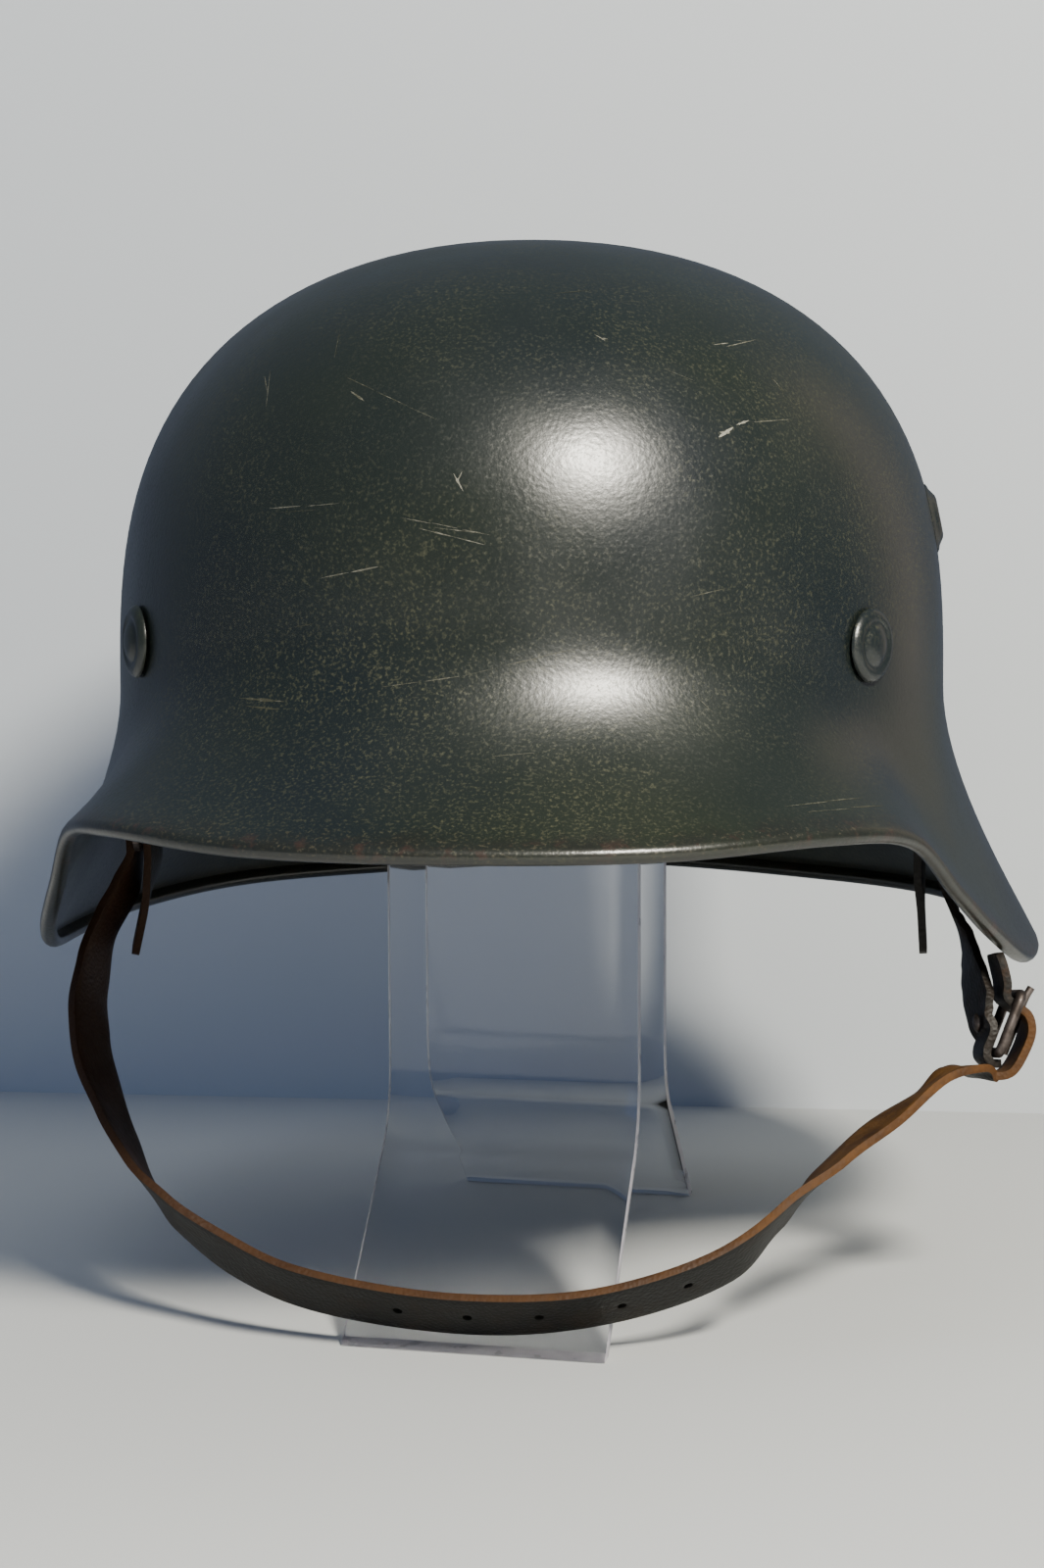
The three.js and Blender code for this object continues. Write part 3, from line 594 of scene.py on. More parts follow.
def shared_spot(across, forward, down):
    """A place from the straps' tables, in millimetres on the helmet's own level."""
    beyond = max(abs(across) - 1, 0)
    distance = min(abs(across), 1) * strap_reach + beyond * ROOM_SHARE * rim_room
    return Vector(
        (
            math.copysign(distance, across),
            HANGER_Y - forward * STRAP_SWING,
            HANGER_BAR_HEIGHT - down * (HANGER_BAR_HEIGHT + STAND_DEPTH),
        )
    )


def table_stations(rows):
    """Stations as (place, width's direction or None, turn)."""
    return [(shared_spot(*row[:3]), None, row[3]) for row in rows]


def fold_stations(side, lean, length, turn):
    """The doubled end: up from the loose tip inside, over the hanger's bar and down outside."""
    tilt = math.degrees(-side * hanger_tilt)
    wide = turn_about(BACK, UP, tilt)
    out = turn_about(Vector((side, 0, 0)), UP, tilt)
    bar = Vector((side * hanger_x, HANGER_Y, HANGER_BAR_HEIGHT - BAR_DROP))
    radius = HANGER_THICK / 2 + LOOP_ROOM + STRAP_THICK / 2

    def at(o, u):
        return bar + out * o * radius + UP * u * radius

    tip_wide = turn_about(BACK, UP, turn)
    tip = Vector((side * (hanger_x + lean), HANGER_Y, HANGER_BAR_HEIGHT - length))
    half = math.sqrt(0.5)
    stations = [(tip, tip_wide, 0), (tip.lerp(at(-1, -4), 0.5), tip_wide, 0)]
    for o, u in ((-1, -3.5), (-1, -1.2), (-1, 0), (-half, half), (0, 1), (half, half), (1, 0), (1, -2.4)):
        stations.append((at(o, u), wide, 0))
    return stations


def route_point(places, t):
    """Point of the smooth line through the places, at a share of its spans."""
    spans = len(places) - 1
    k = min(int(t * spans), spans - 1)
    b, c = places[k], places[k + 1]
    a = places[k - 1] if k else b * 2 - c
    d = places[k + 2] if k + 2 <= spans else c * 2 - b
    before, here, after = [max((q - p).length, 1e-6) ** 0.5 for p, q in ((a, b), (b, c), (c, d))]
    leave = ((b - a) / before - (c - a) / (before + here) + (c - b) / here) * here
    arrive = ((c - b) / here - (d - b) / (here + after) + (d - c) / after) * here
    return hermite(b, c, leave, arrive, t * spans - k)


def route_along(places, t):
    step = 1e-4
    return (route_point(places, min(t + step, 1)) - route_point(places, max(t - step, 0))).normalized()


def strap_route(stations):
    """A function from a share of the spans to the centre, the width and the thickness of the strap."""
    places = [place for place, wide, turn in stations]
    spans = len(stations) - 1
    wides = []
    for k, (place, wide, turn) in enumerate(stations):
        if wide is None:
            along = route_along(places, k / spans)
            back = (BACK - along * along.y).normalized()
            wide = turn_about(back, along, turn)
        wides.append(wide)

    def at(t):
        k = min(int(t * spans), spans - 1)
        s = t * spans - k
        along = route_along(places, t)
        wide = wides[k].lerp(wides[k + 1], s * s * (3 - 2 * s))
        wide = (wide - along * along.dot(wide)).normalized()
        return route_point(places, t), wide, along.cross(wide)

    return at


# %% [markdown]
# ## The buckle's own directions
# The buckle hangs askew beside the cheek. It gets its own three directions: along its bars, up its sides,
# and out of its frame. The straps' ends, the frame and the prong are all placed with them.

# %% Buckle's directions and the straps' ends
HOOK_START = 4.0  # how far above its bar the short strap begins to turn, in millimetres

buckle_bar = Vector((-0.17, 0.97, -0.17)).normalized()
buckle_rise = Vector((0.347, 0.208, 0.915))
buckle_rise = (buckle_rise - buckle_bar * buckle_rise.dot(buckle_bar)).normalized()
buckle_out = buckle_bar.cross(buckle_rise).normalized()
buckle_foot = shared_spot(*BUCKLE_PLACE)


def buckle_spot(rise, out, bar=0.0):
    return buckle_foot + buckle_rise * rise + buckle_out * out + buckle_bar * bar


bend_stations = [
    (buckle_spot(rise * BUCKLE_LENGTH, out * BUCKLE_LENGTH), buckle_bar, 0) for rise, out in BUCKLE_BEND
]
hook_radius = BUCKLE_WIRE + LOOP_ROOM + STRAP_THICK / 2
hook_stations = [(buckle_spot(HOOK_START, -hook_radius - 0.1), buckle_bar, 0)]
for degrees in (0, 45, 90, 135):
    a = math.radians(degrees)
    spot = buckle_spot(-hook_radius * math.sin(a), -hook_radius * math.cos(a))
    hook_stations.append((spot, buckle_bar, 0))
long_stations = fold_stations(-1, **TIPS["right"]) + table_stations(LONG_STRAP) + bend_stations
short_stations = fold_stations(1, **TIPS["left"]) + table_stations(SHORT_STRAP) + hook_stations
print("stations:", len(long_stations), "on the long strap,", len(short_stations), "on the short one")

# %% [markdown]
# ## The ribbons
# Each ribbon has a few columns across and many rows along, so that it bends evenly. Solidify gives the
# new faces their own material slots: the grain side, the brown flesh side and the cut edges look
# different on real leather.

# %% Lay the ribbons
STEPS_PER_SPAN = 10
ACROSS = 6
TIP_ROUNDING = 4.0  # length over which a ribbon's end narrows, in millimetres
TIP_SHARE = 0.72  # share of its width that is left at the very end
TRIM = 0.1  # how much thinner and narrower the leather is than its solid
EDGE_SOFTENING = 0.45


def lay_ribbon(name, stations):
    route = strap_route(stations)
    rows = (len(stations) - 1) * STEPS_PER_SPAN
    points = [route(j / rows) for j in range(rows + 1)]
    lengths = [0.0]
    for before, after in zip(points, points[1:]):
        lengths.append(lengths[-1] + (after[0] - before[0]).length)

    def spot(i, j):
        centre, wide, thick = points[j]
        to_end = min(lengths[j], lengths[-1] - lengths[j]) / TIP_ROUNDING
        narrow = TIP_SHARE + (1 - TIP_SHARE) * math.sqrt(max(0.0, 1 - (1 - min(to_end, 1)) ** 2))
        return in_frame(centre + wide * (i / ACROSS - 0.5) * (STRAP_WIDTH - TRIM) * narrow)

    ribbon, cells = grid_sheet(name, ACROSS, rows, spot)
    run = ribbon.data.attributes.new("run", "FLOAT", "POINT")
    for value, (i, j) in zip(run.data, cells):
        value.value = lengths[j] * MM
    for _ in range(3):
        ribbon.data.materials.append(None)
    wall = ribbon.modifiers.new("leather", "SOLIDIFY")
    wall.thickness = (STRAP_THICK - TRIM) * MM
    wall.offset = 0
    wall.material_offset = 1
    wall.material_offset_rim = 2
    apply_modifiers(ribbon)
    return ribbon, route, lengths


long_strap, long_route, long_lengths = lay_ribbon("long_strap_leather", long_stations)
short_strap, short_route, short_lengths = lay_ribbon("short_strap_leather", short_stations)
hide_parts("chin_strap_long")
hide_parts("chin_strap_short")
print("long strap", round(long_lengths[-1]), "mm, short strap", round(short_lengths[-1]), "mm")

# %% [markdown]
# ## The strap's holes
# A few small punched holes run along the middle of the long strap for the prong. They are real holes, so
# a row of thin punches is joined into one object and cut out in one go.

# %% Punch the holes
HOLE_RADIUS = 1.1
HOLE_PITCH = 17.0
FIRST_HOLE = 205.0  # distance along the strap from its doubled tip, in millimetres
HOLE_COUNT = 5
PUNCH_LENGTH = 6.0


def standing(place, axis):
    """Matrix that stands a piece made about Z at a place in millimetres, along an axis."""
    return Matrix.Translation(in_frame(place)) @ axis.to_track_quat("Z", "Y").to_matrix().to_4x4()


def share_at(lengths, distance):
    """Share of the route's spans at a distance along it."""
    row = next(j for j, length in enumerate(lengths) if length >= distance)
    return row / (len(lengths) - 1)


punches = []
for k in range(HOLE_COUNT):
    centre, wide, thick = long_route(share_at(long_lengths, FIRST_HOLE + k * HOLE_PITCH))
    deselect()
    bpy.ops.mesh.primitive_cylinder_add(vertices=20, radius=HOLE_RADIUS * MM, depth=PUNCH_LENGTH * MM)
    punch = bpy.context.object
    punch.matrix_world = standing(centre, thick)
    punches.append(punch)
cut_out(long_strap, join(punches))
for strap in (long_strap, short_strap):
    soften(strap, EDGE_SOFTENING)
    smooth(strap, 50)

# %% [markdown]
# ## The buckle
# The buckle is a rectangle of round steel wire with a straight prong that rests over its upper bar. A
# wire is a path with a round bevel, which is then made a mesh. The stud on the short strap is a small
# turned dome.

# %% Buckle, prong and stud
STUD_STATION = 16.8
STUD_ROWS = [(2.1, 0.0), (2.2, 0.1), (2.2, 0.35), (2.0, 0.6), (1.6, 0.9), (1.0, 1.1), (0.4, 1.18)]


def wire(name, places, radius, closed=False):
    """A round wire through places, given in millimetres."""
    deselect()
    bpy.ops.curve.primitive_nurbs_path_add()
    piece = bpy.context.object
    piece.name = name
    line = piece.data
    line.splines.clear()
    spline = line.splines.new("POLY")
    spline.points.add(len(places) - 1)
    for point, place in zip(spline.points, places):
        point.co = (*in_frame(place), 1)
    spline.use_cyclic_u = closed
    line.bevel_depth = radius * MM
    line.bevel_resolution = 4
    line.use_fill_caps = True
    make_active(piece)
    bpy.ops.object.convert(target="MESH")
    piece = bpy.context.object
    settle(piece)
    smooth(piece, 50)
    return piece


half_bar = STRAP_WIDTH / 2 + 1.7 * GAP + BUCKLE_WIRE
corner = 1.6 * BUCKLE_WIRE
CORNER_STEPS = 5
frame_places = []
for quarter, (rise, bar) in enumerate(((1, 1), (1, -1), (0, -1), (0, 1))):
    middle_rise = BUCKLE_LENGTH - corner if rise else corner
    middle_bar = bar * (half_bar - corner)
    for i in range(CORNER_STEPS + 1):
        a = (quarter + i / CORNER_STEPS) * math.pi / 2
        spot = buckle_spot(middle_rise + corner * math.sin(a), 0, middle_bar + corner * math.cos(a))
        frame_places.append(spot)
buckle = wire("buckle_wire", frame_places, BUCKLE_WIRE, closed=True)
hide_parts("buckle_frame")

prong_out = BUCKLE_WIRE + GAP + PRONG_RADIUS
prong_places = [
    buckle_spot(BUCKLE_WIRE * 0.5, prong_out),
    buckle_spot(BUCKLE_LENGTH * 0.5, prong_out + PRONG_RADIUS * 0.1),
    buckle_spot(BUCKLE_LENGTH, prong_out),
    buckle_spot(BUCKLE_LENGTH + 2.9, prong_out + PRONG_RADIUS * 0.5),
]
PRONG_STEPS = 18
prong_line = [route_point(prong_places, i / PRONG_STEPS) for i in range(PRONG_STEPS + 1)]
prong = wire("buckle_tongue", prong_line, PRONG_RADIUS)
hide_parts("buckle_prong")

centre, wide, thick = short_route(STUD_STATION / (len(short_stations) - 1))
stud_foot = centre - thick * (STRAP_THICK / 2 + 1.5 * GAP)
stud = turned_piece("stud_dome", STUD_ROWS, 32)
settle(stud, standing(stud_foot, -thick))
smooth(stud, 60)
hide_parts("strap_stud")

# %% [markdown]
# ## The clear stand
# One sheet of clear plastic was warmed and bent twice at the top and once at each foot. Its section is a
# line of straights and round bends, and the sheet is a grid laid along that line and thickened outside
# in.

# %% Stand
SHEET = 3.0
STAND_WIDTH = 60.0
LEG_OFFSET = 26.5
FOOT_OFFSET = 85.7
KNEE_HEIGHT = -20.0
KNEE_RADIUS = 22.0
TOP_RADIUS = 14.0
STAND_Y = 1.3
STAND_X = -1.3
STAND_LEAN = math.tan(math.radians(8))
STAND_YAW = math.tan(math.radians(1.6))
BEND_STEPS = 20
LEG_STEPS = 12
ACROSS_STEPS = 10
FOOT_RISE = 0.05  # how far the feet's sawn faces are off the table, in millimetres
FOOT_SPARE = 3.0  # extra length of a foot, which the cut at the table takes off
KNEE_TRIES = 30  # rounds in which the knee's turn settles
CUT_PRECISION = 1e-7  # finer than usual, so that no point stays below the cut
SHEET_SOFTENING = 0.35

stand_top = (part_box("display_stand")[1].z - AXIS_SHIFT.z) / MM
mid = SHEET / 2


def half_section():
    """(offset, height) of the sheet's middle line from the top's middle to a foot."""
    line = [Vector((0, stand_top - mid)), Vector(((LEG_OFFSET - TOP_RADIUS) / 2, stand_top - mid))]
    for i in range(BEND_STEPS + 1):
        a = i * math.pi / 2 / BEND_STEPS
        across, up = (TOP_RADIUS - mid) * math.sin(a), (TOP_RADIUS - mid) * math.cos(a)
        line.append(Vector((LEG_OFFSET - TOP_RADIUS + across, stand_top - TOP_RADIUS + up)))
    foot = Vector((FOOT_OFFSET, -STAND_DEPTH))

    def knee(a, radius):
        across, down = radius * math.cos(a), radius * math.sin(a)
        return Vector((LEG_OFFSET + KNEE_RADIUS - across, KNEE_HEIGHT - down))

    turn = 1.0
    for _ in range(KNEE_TRIES):
        end = knee(turn, KNEE_RADIUS)
        turn = math.atan2(foot.x - end.x, end.y - foot.y)
    top = line[-1]
    start = knee(0, KNEE_RADIUS + mid)
    line += [top.lerp(start, i / LEG_STEPS) for i in range(1, LEG_STEPS)]
    line += [knee(turn * i / BEND_STEPS, KNEE_RADIUS + mid) for i in range(BEND_STEPS + 1)]
    end = line[-1]
    slope = Vector((math.sin(turn), -math.cos(turn)))
    reach = (-STAND_DEPTH - end.y) / slope.y
    line += [end + slope * (reach + FOOT_SPARE) * i / LEG_STEPS for i in range(1, LEG_STEPS + 1)]
    return line


half = half_section()
stand_line = [Vector((-p.x, p.y)) for p in reversed(half[1:])] + half


def stand_spot(i, j):
    across = (i / ACROSS_STEPS - 0.5) * STAND_WIDTH
    along, height = stand_line[j]
    spot = Vector((across + along * STAND_YAW + STAND_X, along - across * STAND_LEAN + STAND_Y, height))
    return in_frame(spot)


stand, cells = grid_sheet("clear_stand", ACROSS_STEPS, len(stand_line) - 1, stand_spot)
wall = stand.modifiers.new("sheet", "SOLIDIFY")
wall.thickness = SHEET * MM
wall.offset = 0
wall.material_offset_rim = 1
for _ in range(2):
    stand.data.materials.append(None)
soften(stand, SHEET_SOFTENING)
edit_all(stand)
bpy.ops.mesh.bisect(
    plane_co=(0, 0, FOOT_RISE * MM),
    plane_no=(0, 0, 1),
    use_fill=True,
    clear_inner=True,
    threshold=CUT_PRECISION,
)
end_edit()
for face in stand.data.polygons:
    if face.center.z < 2 * FOOT_RISE * MM:
        face.material_index = 1
smooth(stand, 40)
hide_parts("display_stand")
print("stand measures", [round(v / MM, 1) for v in stand.dimensions])

# %% [markdown]
# ## Chips and scratches
# The paint is chipped down to a paler coat here and there. Each mark is a chain of thin slivers of that
# coat, laid on the dome. Its two ends are pixels of the photograph: rays from the camera find the places
# on the steel between them, so a mark is on the surface from every side.

# %% Marks in the paint
MARK_RISE = 0.03  # how far a mark lies off the paint, in millimetres
FRAGMENT = 36.0  # usual length of one sliver of a mark, in pixels of the photograph
DRIFT = 0.9  # how far slivers stray to the side of their mark, in the same pixels
FRAGMENT_STEPS = 8
MARK_SHARE = 0.62  # share of its listed width that a mark is usually wide
# first x, first y, last x and last y in pixels of the photograph, width in millimetres,
# and fade, from 0 for a bare mark to 1 for one as dark as paint
MARKS = [
    (276, 376, 271, 420, 0.9, 0.5),
    (270, 384, 273, 402, 0.6, 0.6),
    (347, 336, 341, 366, 0.4, 0.7),
    (348, 383, 446, 428, 0.35, 0.62),
    (356, 398, 374, 411, 1.0, 0.45),
    (274, 519, 346, 513, 0.5, 0.5),
    (280, 523, 330, 520, 0.3, 0.7),
    (462, 482, 474, 504, 1.1, 0.4),
    (472, 480, 466, 492, 0.8, 0.45),
    (405, 527, 500, 546, 0.35, 0.6),
    (424, 539, 494, 556, 0.45, 0.5),
    (440, 538, 490, 544, 0.35, 0.55),
    (326, 590, 386, 578, 0.7, 0.45),
    (388, 702, 470, 690, 0.55, 0.68),
    (470, 690, 590, 662, 0.4, 0.74),
    (606, 341, 618, 348, 0.8, 0.5),
    (612, 345, 620, 346, 0.6, 0.55),
    (726, 352, 744, 350, 0.9, 0.45),
    (740, 354, 774, 346, 0.7, 0.5),
    (748, 347, 766, 349, 0.6, 0.5),
    (786, 384, 800, 400, 0.6, 0.62),
    (732, 447, 748, 436, 1.7, 0.0),
    (734, 441, 746, 442, 1.2, 0.05),
    (750, 434, 764, 429, 0.8, 0.2),
    (764, 431, 806, 428, 0.5, 0.6),
    (240, 712, 290, 716, 1.3, 0.78),
    (246, 720, 284, 724, 1.0, 0.8),
    (676, 376, 712, 390, 0.3, 0.72),
    (560, 300, 604, 296, 0.3, 0.8),
    (300, 640, 322, 636, 0.4, 0.76),
    (700, 610, 742, 600, 0.4, 0.78),
    (500, 772, 548, 768, 0.4, 0.76),
    (800, 822, 880, 814, 0.8, 0.72),
    (820, 828, 905, 822, 0.6, 0.76),
    (700, 700, 730, 730, 0.4, 0.8),
]

tree = BVHTree.FromObject(shell, bpy.context.evaluated_depsgraph_get())
chance = random.Random(7)


def lay_sliver(start, end, width, fade):
    """One sliver between two pixels, narrowing to both ends."""
    hits = []
    for k in range(FRAGMENT_STEPS + 1):
        pixel = start.lerp(end, k / FRAGMENT_STEPS)
        place, normal, face, distance = tree.ray_cast(camera.location, ray_through(pixel))
        hits.append((place, normal))
    halves = []
    for k in range(FRAGMENT_STEPS + 1):
        taper = math.sin(math.pi * (k + 0.25) / (FRAGMENT_STEPS + 0.5)) ** 0.7
        halves.append(width * MARK_SHARE * MM / 2 * taper * chance.uniform(0.35, 1.25))

    def spot(i, j):
        place, normal = hits[i]
        along = (hits[min(i + 1, FRAGMENT_STEPS)][0] - hits[max(i - 1, 0)][0]).normalized()
        return place + normal * MARK_RISE * MM + normal.cross(along) * halves[i] * (j * 2 - 1)

    sliver, cells = grid_sheet("mark", FRAGMENT_STEPS, 1, spot)
    shade = sliver.data.attributes.new("fade", "FLOAT", "POINT")
    for value in shade.data:
        value.value = fade
    return sliver


def lay_mark(start, end, width, fade):
    """A broken mark: a chain of slivers with gaps, each a little beside the last."""
    start, end = Vector(start), Vector(end)
    along = end - start
    beside = Vector((-along.y, along.x)).normalized()
    count = max(1, round(along.length / FRAGMENT))
    slivers = []
    for k in range(count):
        first = (k + chance.uniform(0, 0.12)) / count
        last = (k + chance.uniform(0.85, 1.15)) / count
        shift = beside * (chance.uniform(-DRIFT, DRIFT) if count > 1 else 0)
        begin = start + along * first + shift
        finish = start + along * min(last, 1) + shift * chance.uniform(0.2, 1)
        wide = width * chance.uniform(0.55, 1.1)
        faded = min(1.0, fade + chance.uniform(0, 0.2))
        slivers.append(lay_sliver(begin, finish, wide, faded))
    return slivers


marks = join([sliver for row in MARKS for sliver in lay_mark(row[:2], row[2:4], *row[4:])])
marks.name = "paint_marks"
print("marks:", len(marks.data.polygons), "faces")

# %% [markdown]
# ## Materials
# Each finish is a small set of shader nodes that reads the piece's own coordinates or attributes, so that
# it stays in place from every side. These helpers add nodes, and fill their inputs with numbers, colours or
# the outputs of other nodes.

# %% Helpers for materials
class Finish:
    """A material with one Principled shader and a few ways to feed it."""

    def __init__(self, name):
        self.material = bpy.data.materials.new(name)
        self.material.use_nodes = True
        self.tree = self.material.node_tree
        self.shader = self.tree.nodes["Principled BSDF"]
        self.place = self.add("ShaderNodeTexCoord").outputs["Object"]

    def fill(self, node, inputs):
        """Gives each listed input of a node its value, or a link from another node's output."""
        for key, value in inputs.items():
            if isinstance(value, bpy.types.NodeSocket):
                self.tree.links.new(value, node.inputs[key])
            else:
                node.inputs[key].default_value = value

    def add(self, kind, inputs=None, **settings):
        node = self.tree.nodes.new(kind)
        for key, value in settings.items():
            setattr(node, key, value)
        self.fill(node, inputs or {})
        return node

    def set(self, **inputs):
        """Fills inputs of the material's own shader."""
        self.fill(self.shader, {key.replace("_", " "): value for key, value in inputs.items()})

    def noise(self, scale, detail=3.0, roughness=0.5):
        inputs = {"Scale": scale, "Detail": detail, "Roughness": roughness, "Vector": self.place}
        return self.add("ShaderNodeTexNoise", inputs).outputs["Fac"]

    def ramp(self, source, low, high, first=0.0, last=1.0):
        inputs = {"From Min": low, "From Max": high, "To Min": first, "To Max": last, "Value": source}
        return self.add("ShaderNodeMapRange", inputs).outputs["Result"]

    def maths(self, operation, first, second):
        return self.add("ShaderNodeMath", {0: first, 1: second}, operation=operation).outputs[0]

    def mix(self, share, first, second):
        first, second = [(*v, 1.0) if isinstance(v, tuple) else v for v in (first, second)]
        inputs = {"Factor": share, "A": first, "B": second}
        return self.add("ShaderNodeMix", inputs, data_type="RGBA").outputs["Result"]

    def mark(self, name):
        return self.add("ShaderNodeAttribute", attribute_name=name).outputs["Fac"]

    def bump(self, height, strength, distance, below=None):
        inputs = {"Strength": strength, "Distance": distance, "Height": height}
        if below is not None:
            inputs["Normal"] = below
        return self.add("ShaderNodeBump", inputs).outputs["Normal"]


def give_material(piece, material):
    """Gives a piece one material alone."""
    piece.data.materials.clear()
    piece.data.materials.append(material)


# %% [markdown]
# ## The paint
# Old field-grey paint: dark green-grey, half glossy from handling, with a slightly pebbled skin. Where it
# has worn thin, fine tan specks of the coat below show. On the rolled edge it has worn to an olive sheen
# with spots of rust.

# %% Paint
DARK_PAINT = (0.004, 0.0065, 0.007)
GREEN_PAINT = (0.009, 0.012, 0.006)
WORN_PAINT = (0.044, 0.044, 0.022)
EDGE_PAINT = (0.007, 0.007, 0.004)
EDGE_BARE = (0.032, 0.027, 0.015)
RUST = (0.020, 0.011, 0.007)

paint = Finish("field_grey_paint")
broad = paint.ramp(paint.noise(9, 3), 0.35, 0.65)
coat = paint.mix(broad, DARK_PAINT, GREEN_PAINT)
fine = paint.noise(1300, 2, 0.6)
specks = paint.ramp(fine, 0.52, 0.76)
thin_places = paint.ramp(paint.noise(13, 5, 0.62), 0.42, 0.64, 0.1, 0.9)
coat = paint.mix(paint.maths("MULTIPLY", specks, thin_places), coat, WORN_PAINT)
wear_mark = paint.mark("wear")
ragged = paint.ramp(paint.noise(110, 4, 0.7), 0.3, 0.7, -0.4, 0.2)
worn_edge = paint.ramp(paint.maths("ADD", wear_mark, ragged), 0.5, 1.05, 0.0, 0.8)
coat = paint.mix(worn_edge, coat, EDGE_PAINT)
edge_specks = paint.maths("MULTIPLY", paint.ramp(fine, 0.6, 0.7), paint.ramp(wear_mark, 0.4, 1.0, 0.0, 0.8))
coat = paint.mix(edge_specks, coat, EDGE_BARE)
rust_spots = paint.ramp(paint.noise(140, 4, 0.7), 0.56, 0.64, 0.0, 0.8)
coat = paint.mix(paint.maths("MULTIPLY", rust_spots, paint.ramp(wear_mark, 0.8, 1.0)), coat, RUST)
paint.set(Base_Color=coat, IOR=1.6)
gloss = paint.ramp(paint.noise(40, 3), 0.3, 0.7, 0.28, 0.36)
paint.set(Roughness=paint.maths("ADD", gloss, paint.ramp(specks, 0, 1, 0, 0.12)))
pebbles = paint.bump(paint.noise(900, 2, 0.5), 0.3, 0.0002)
paint.set(Normal=paint.bump(paint.noise(60, 2), 0.08, 0.0006, pebbles))
for piece in painted:
    give_material(piece, paint.material)
print("paint on", [piece.name for piece in painted])

# %% [markdown]
# ## The chipped coat
# The marks take the paint's colour where they have faded and a pale stone colour where they are fresh.

# %% Chipped paint
FRESH_CHIP = (0.24, 0.23, 0.19)
FADED_CHIP = (0.026, 0.026, 0.014)

chipped = Finish("chipped_paint")
blotch = chipped.ramp(chipped.noise(900, 3, 0.6), 0.35, 0.65, 0.0, 0.35)
freshness = chipped.maths("ADD", chipped.mark("fade"), blotch)
chipped.set(Base_Color=chipped.mix(freshness, FRESH_CHIP, FADED_CHIP))
chipped.set(Roughness=0.6)
give_material(marks, chipped.material)

# %% [markdown]
# ## The leather
# The long strap is one hide with three looks: its grain side is blackened and worn, its flesh side is
# brown, and its cut edges are the raw tan of the hide. On the last two, painted shade darkens its first
# half and paints its free end black. The short strap is painted black all over, as painted shade. The
# grain is a fine cell pattern in the bump, over soft creases.

# %% Leather
GRAIN_DARK = (0.004, 0.004, 0.003)
GRAIN_WORN = (0.020, 0.014, 0.009)
# painted shade: dark brown laid on the first part of the long strap
SHADE_BROWN = (0.024, 0.010, 0.004)
FLESH_DARK = (0.034, 0.015, 0.004)
FLESH_LIGHT = (0.120, 0.056, 0.013)
CUT_DARK = (0.030, 0.012, 0.003)
CUT_EDGE = (0.070, 0.028, 0.005)
# painted shade: near black for the long strap's free end and for all of the short strap
SHADE_BLACK = (0.006, 0.005, 0.004)
SHADE_BLACK_WORN = (0.022, 0.013, 0.008)
SHADE_END = 0.12  # how far along the long strap its flesh side and cut edges are fully darkened by painted shade, in metres
LIT_START = 0.34  # where that painted shade has faded out, in metres
FREE_END_SHADE_START = 0.390  # where its free end turns black as painted shade, in metres
FREE_END_SHADE_FADE = 0.004  # over what length that painted shade comes in


def leather(name, dark, light, low, high, roughness, painted_shade=None):
    finish = Finish(name)
    finish.set(IOR=1.3)
    patches = finish.ramp(finish.noise(70, 5, 0.65), low, high)
    streaks = finish.ramp(finish.noise(420, 3, 0.6), 0.45, 0.7, 0.0, 0.5)
    tone = finish.mix(patches, dark, light)
    # painted shade: the strap is darkened along its first part and turned black at its free end, by
    # distance along it
    if painted_shade:
        run = finish.mark("run")
        tone = finish.mix(finish.ramp(run, SHADE_END, LIT_START), painted_shade, tone)
        tone = finish.mix(finish.ramp(run, FREE_END_SHADE_START - FREE_END_SHADE_FADE, FREE_END_SHADE_START), tone, SHADE_BLACK)
    finish.set(Base_Color=finish.mix(streaks, tone, dark))
    finish.set(Roughness=finish.ramp(patches, 0, 1, roughness, roughness + 0.14))
    cells = finish.add("ShaderNodeTexVoronoi", {"Scale": 1100, "Vector": finish.place}, feature="F1")
    grain = finish.bump(cells.outputs["Distance"], 0.4, 0.0003)
    creases = finish.bump(finish.noise(160, 4, 0.6), 0.35, 0.0006, grain)
    finish.set(Normal=creases)
    return finish.material


grain_side = leather("leather_grain_side", GRAIN_DARK, GRAIN_WORN, 0.48, 0.78, 0.56)
flesh_side = leather("leather_flesh_side", FLESH_DARK, FLESH_LIGHT, 0.38, 0.72, 0.55, painted_shade=SHADE_BROWN)
cut_edge = leather("leather_cut_edge", CUT_DARK, CUT_EDGE, 0.35, 0.62, 0.6, painted_shade=SHADE_BROWN)
# painted shade: the short strap is made near black all over
shaded_black = leather("leather_painted_shade_black", SHADE_BLACK, SHADE_BLACK_WORN, 0.45, 0.8, 0.5)
for strap, sides in (
    (long_strap, (grain_side, flesh_side, cut_edge)),
    (short_strap, (shaded_black, grain_side, shaded_black)),
):
    for slot, material in enumerate(sides):
        strap.data.materials[slot] = material

# %% [markdown]
# ## Metal and clear plastic
# The buckle and the hangers are dull darkened steel, worn brighter in places. The stand is clear plastic:
# a shader with full transmission, and a frosted one for its sawn edges.

# %% Metal
STEEL_DARK = (0.045, 0.036, 0.032)
STEEL_LIGHT = (0.15, 0.125, 0.115)

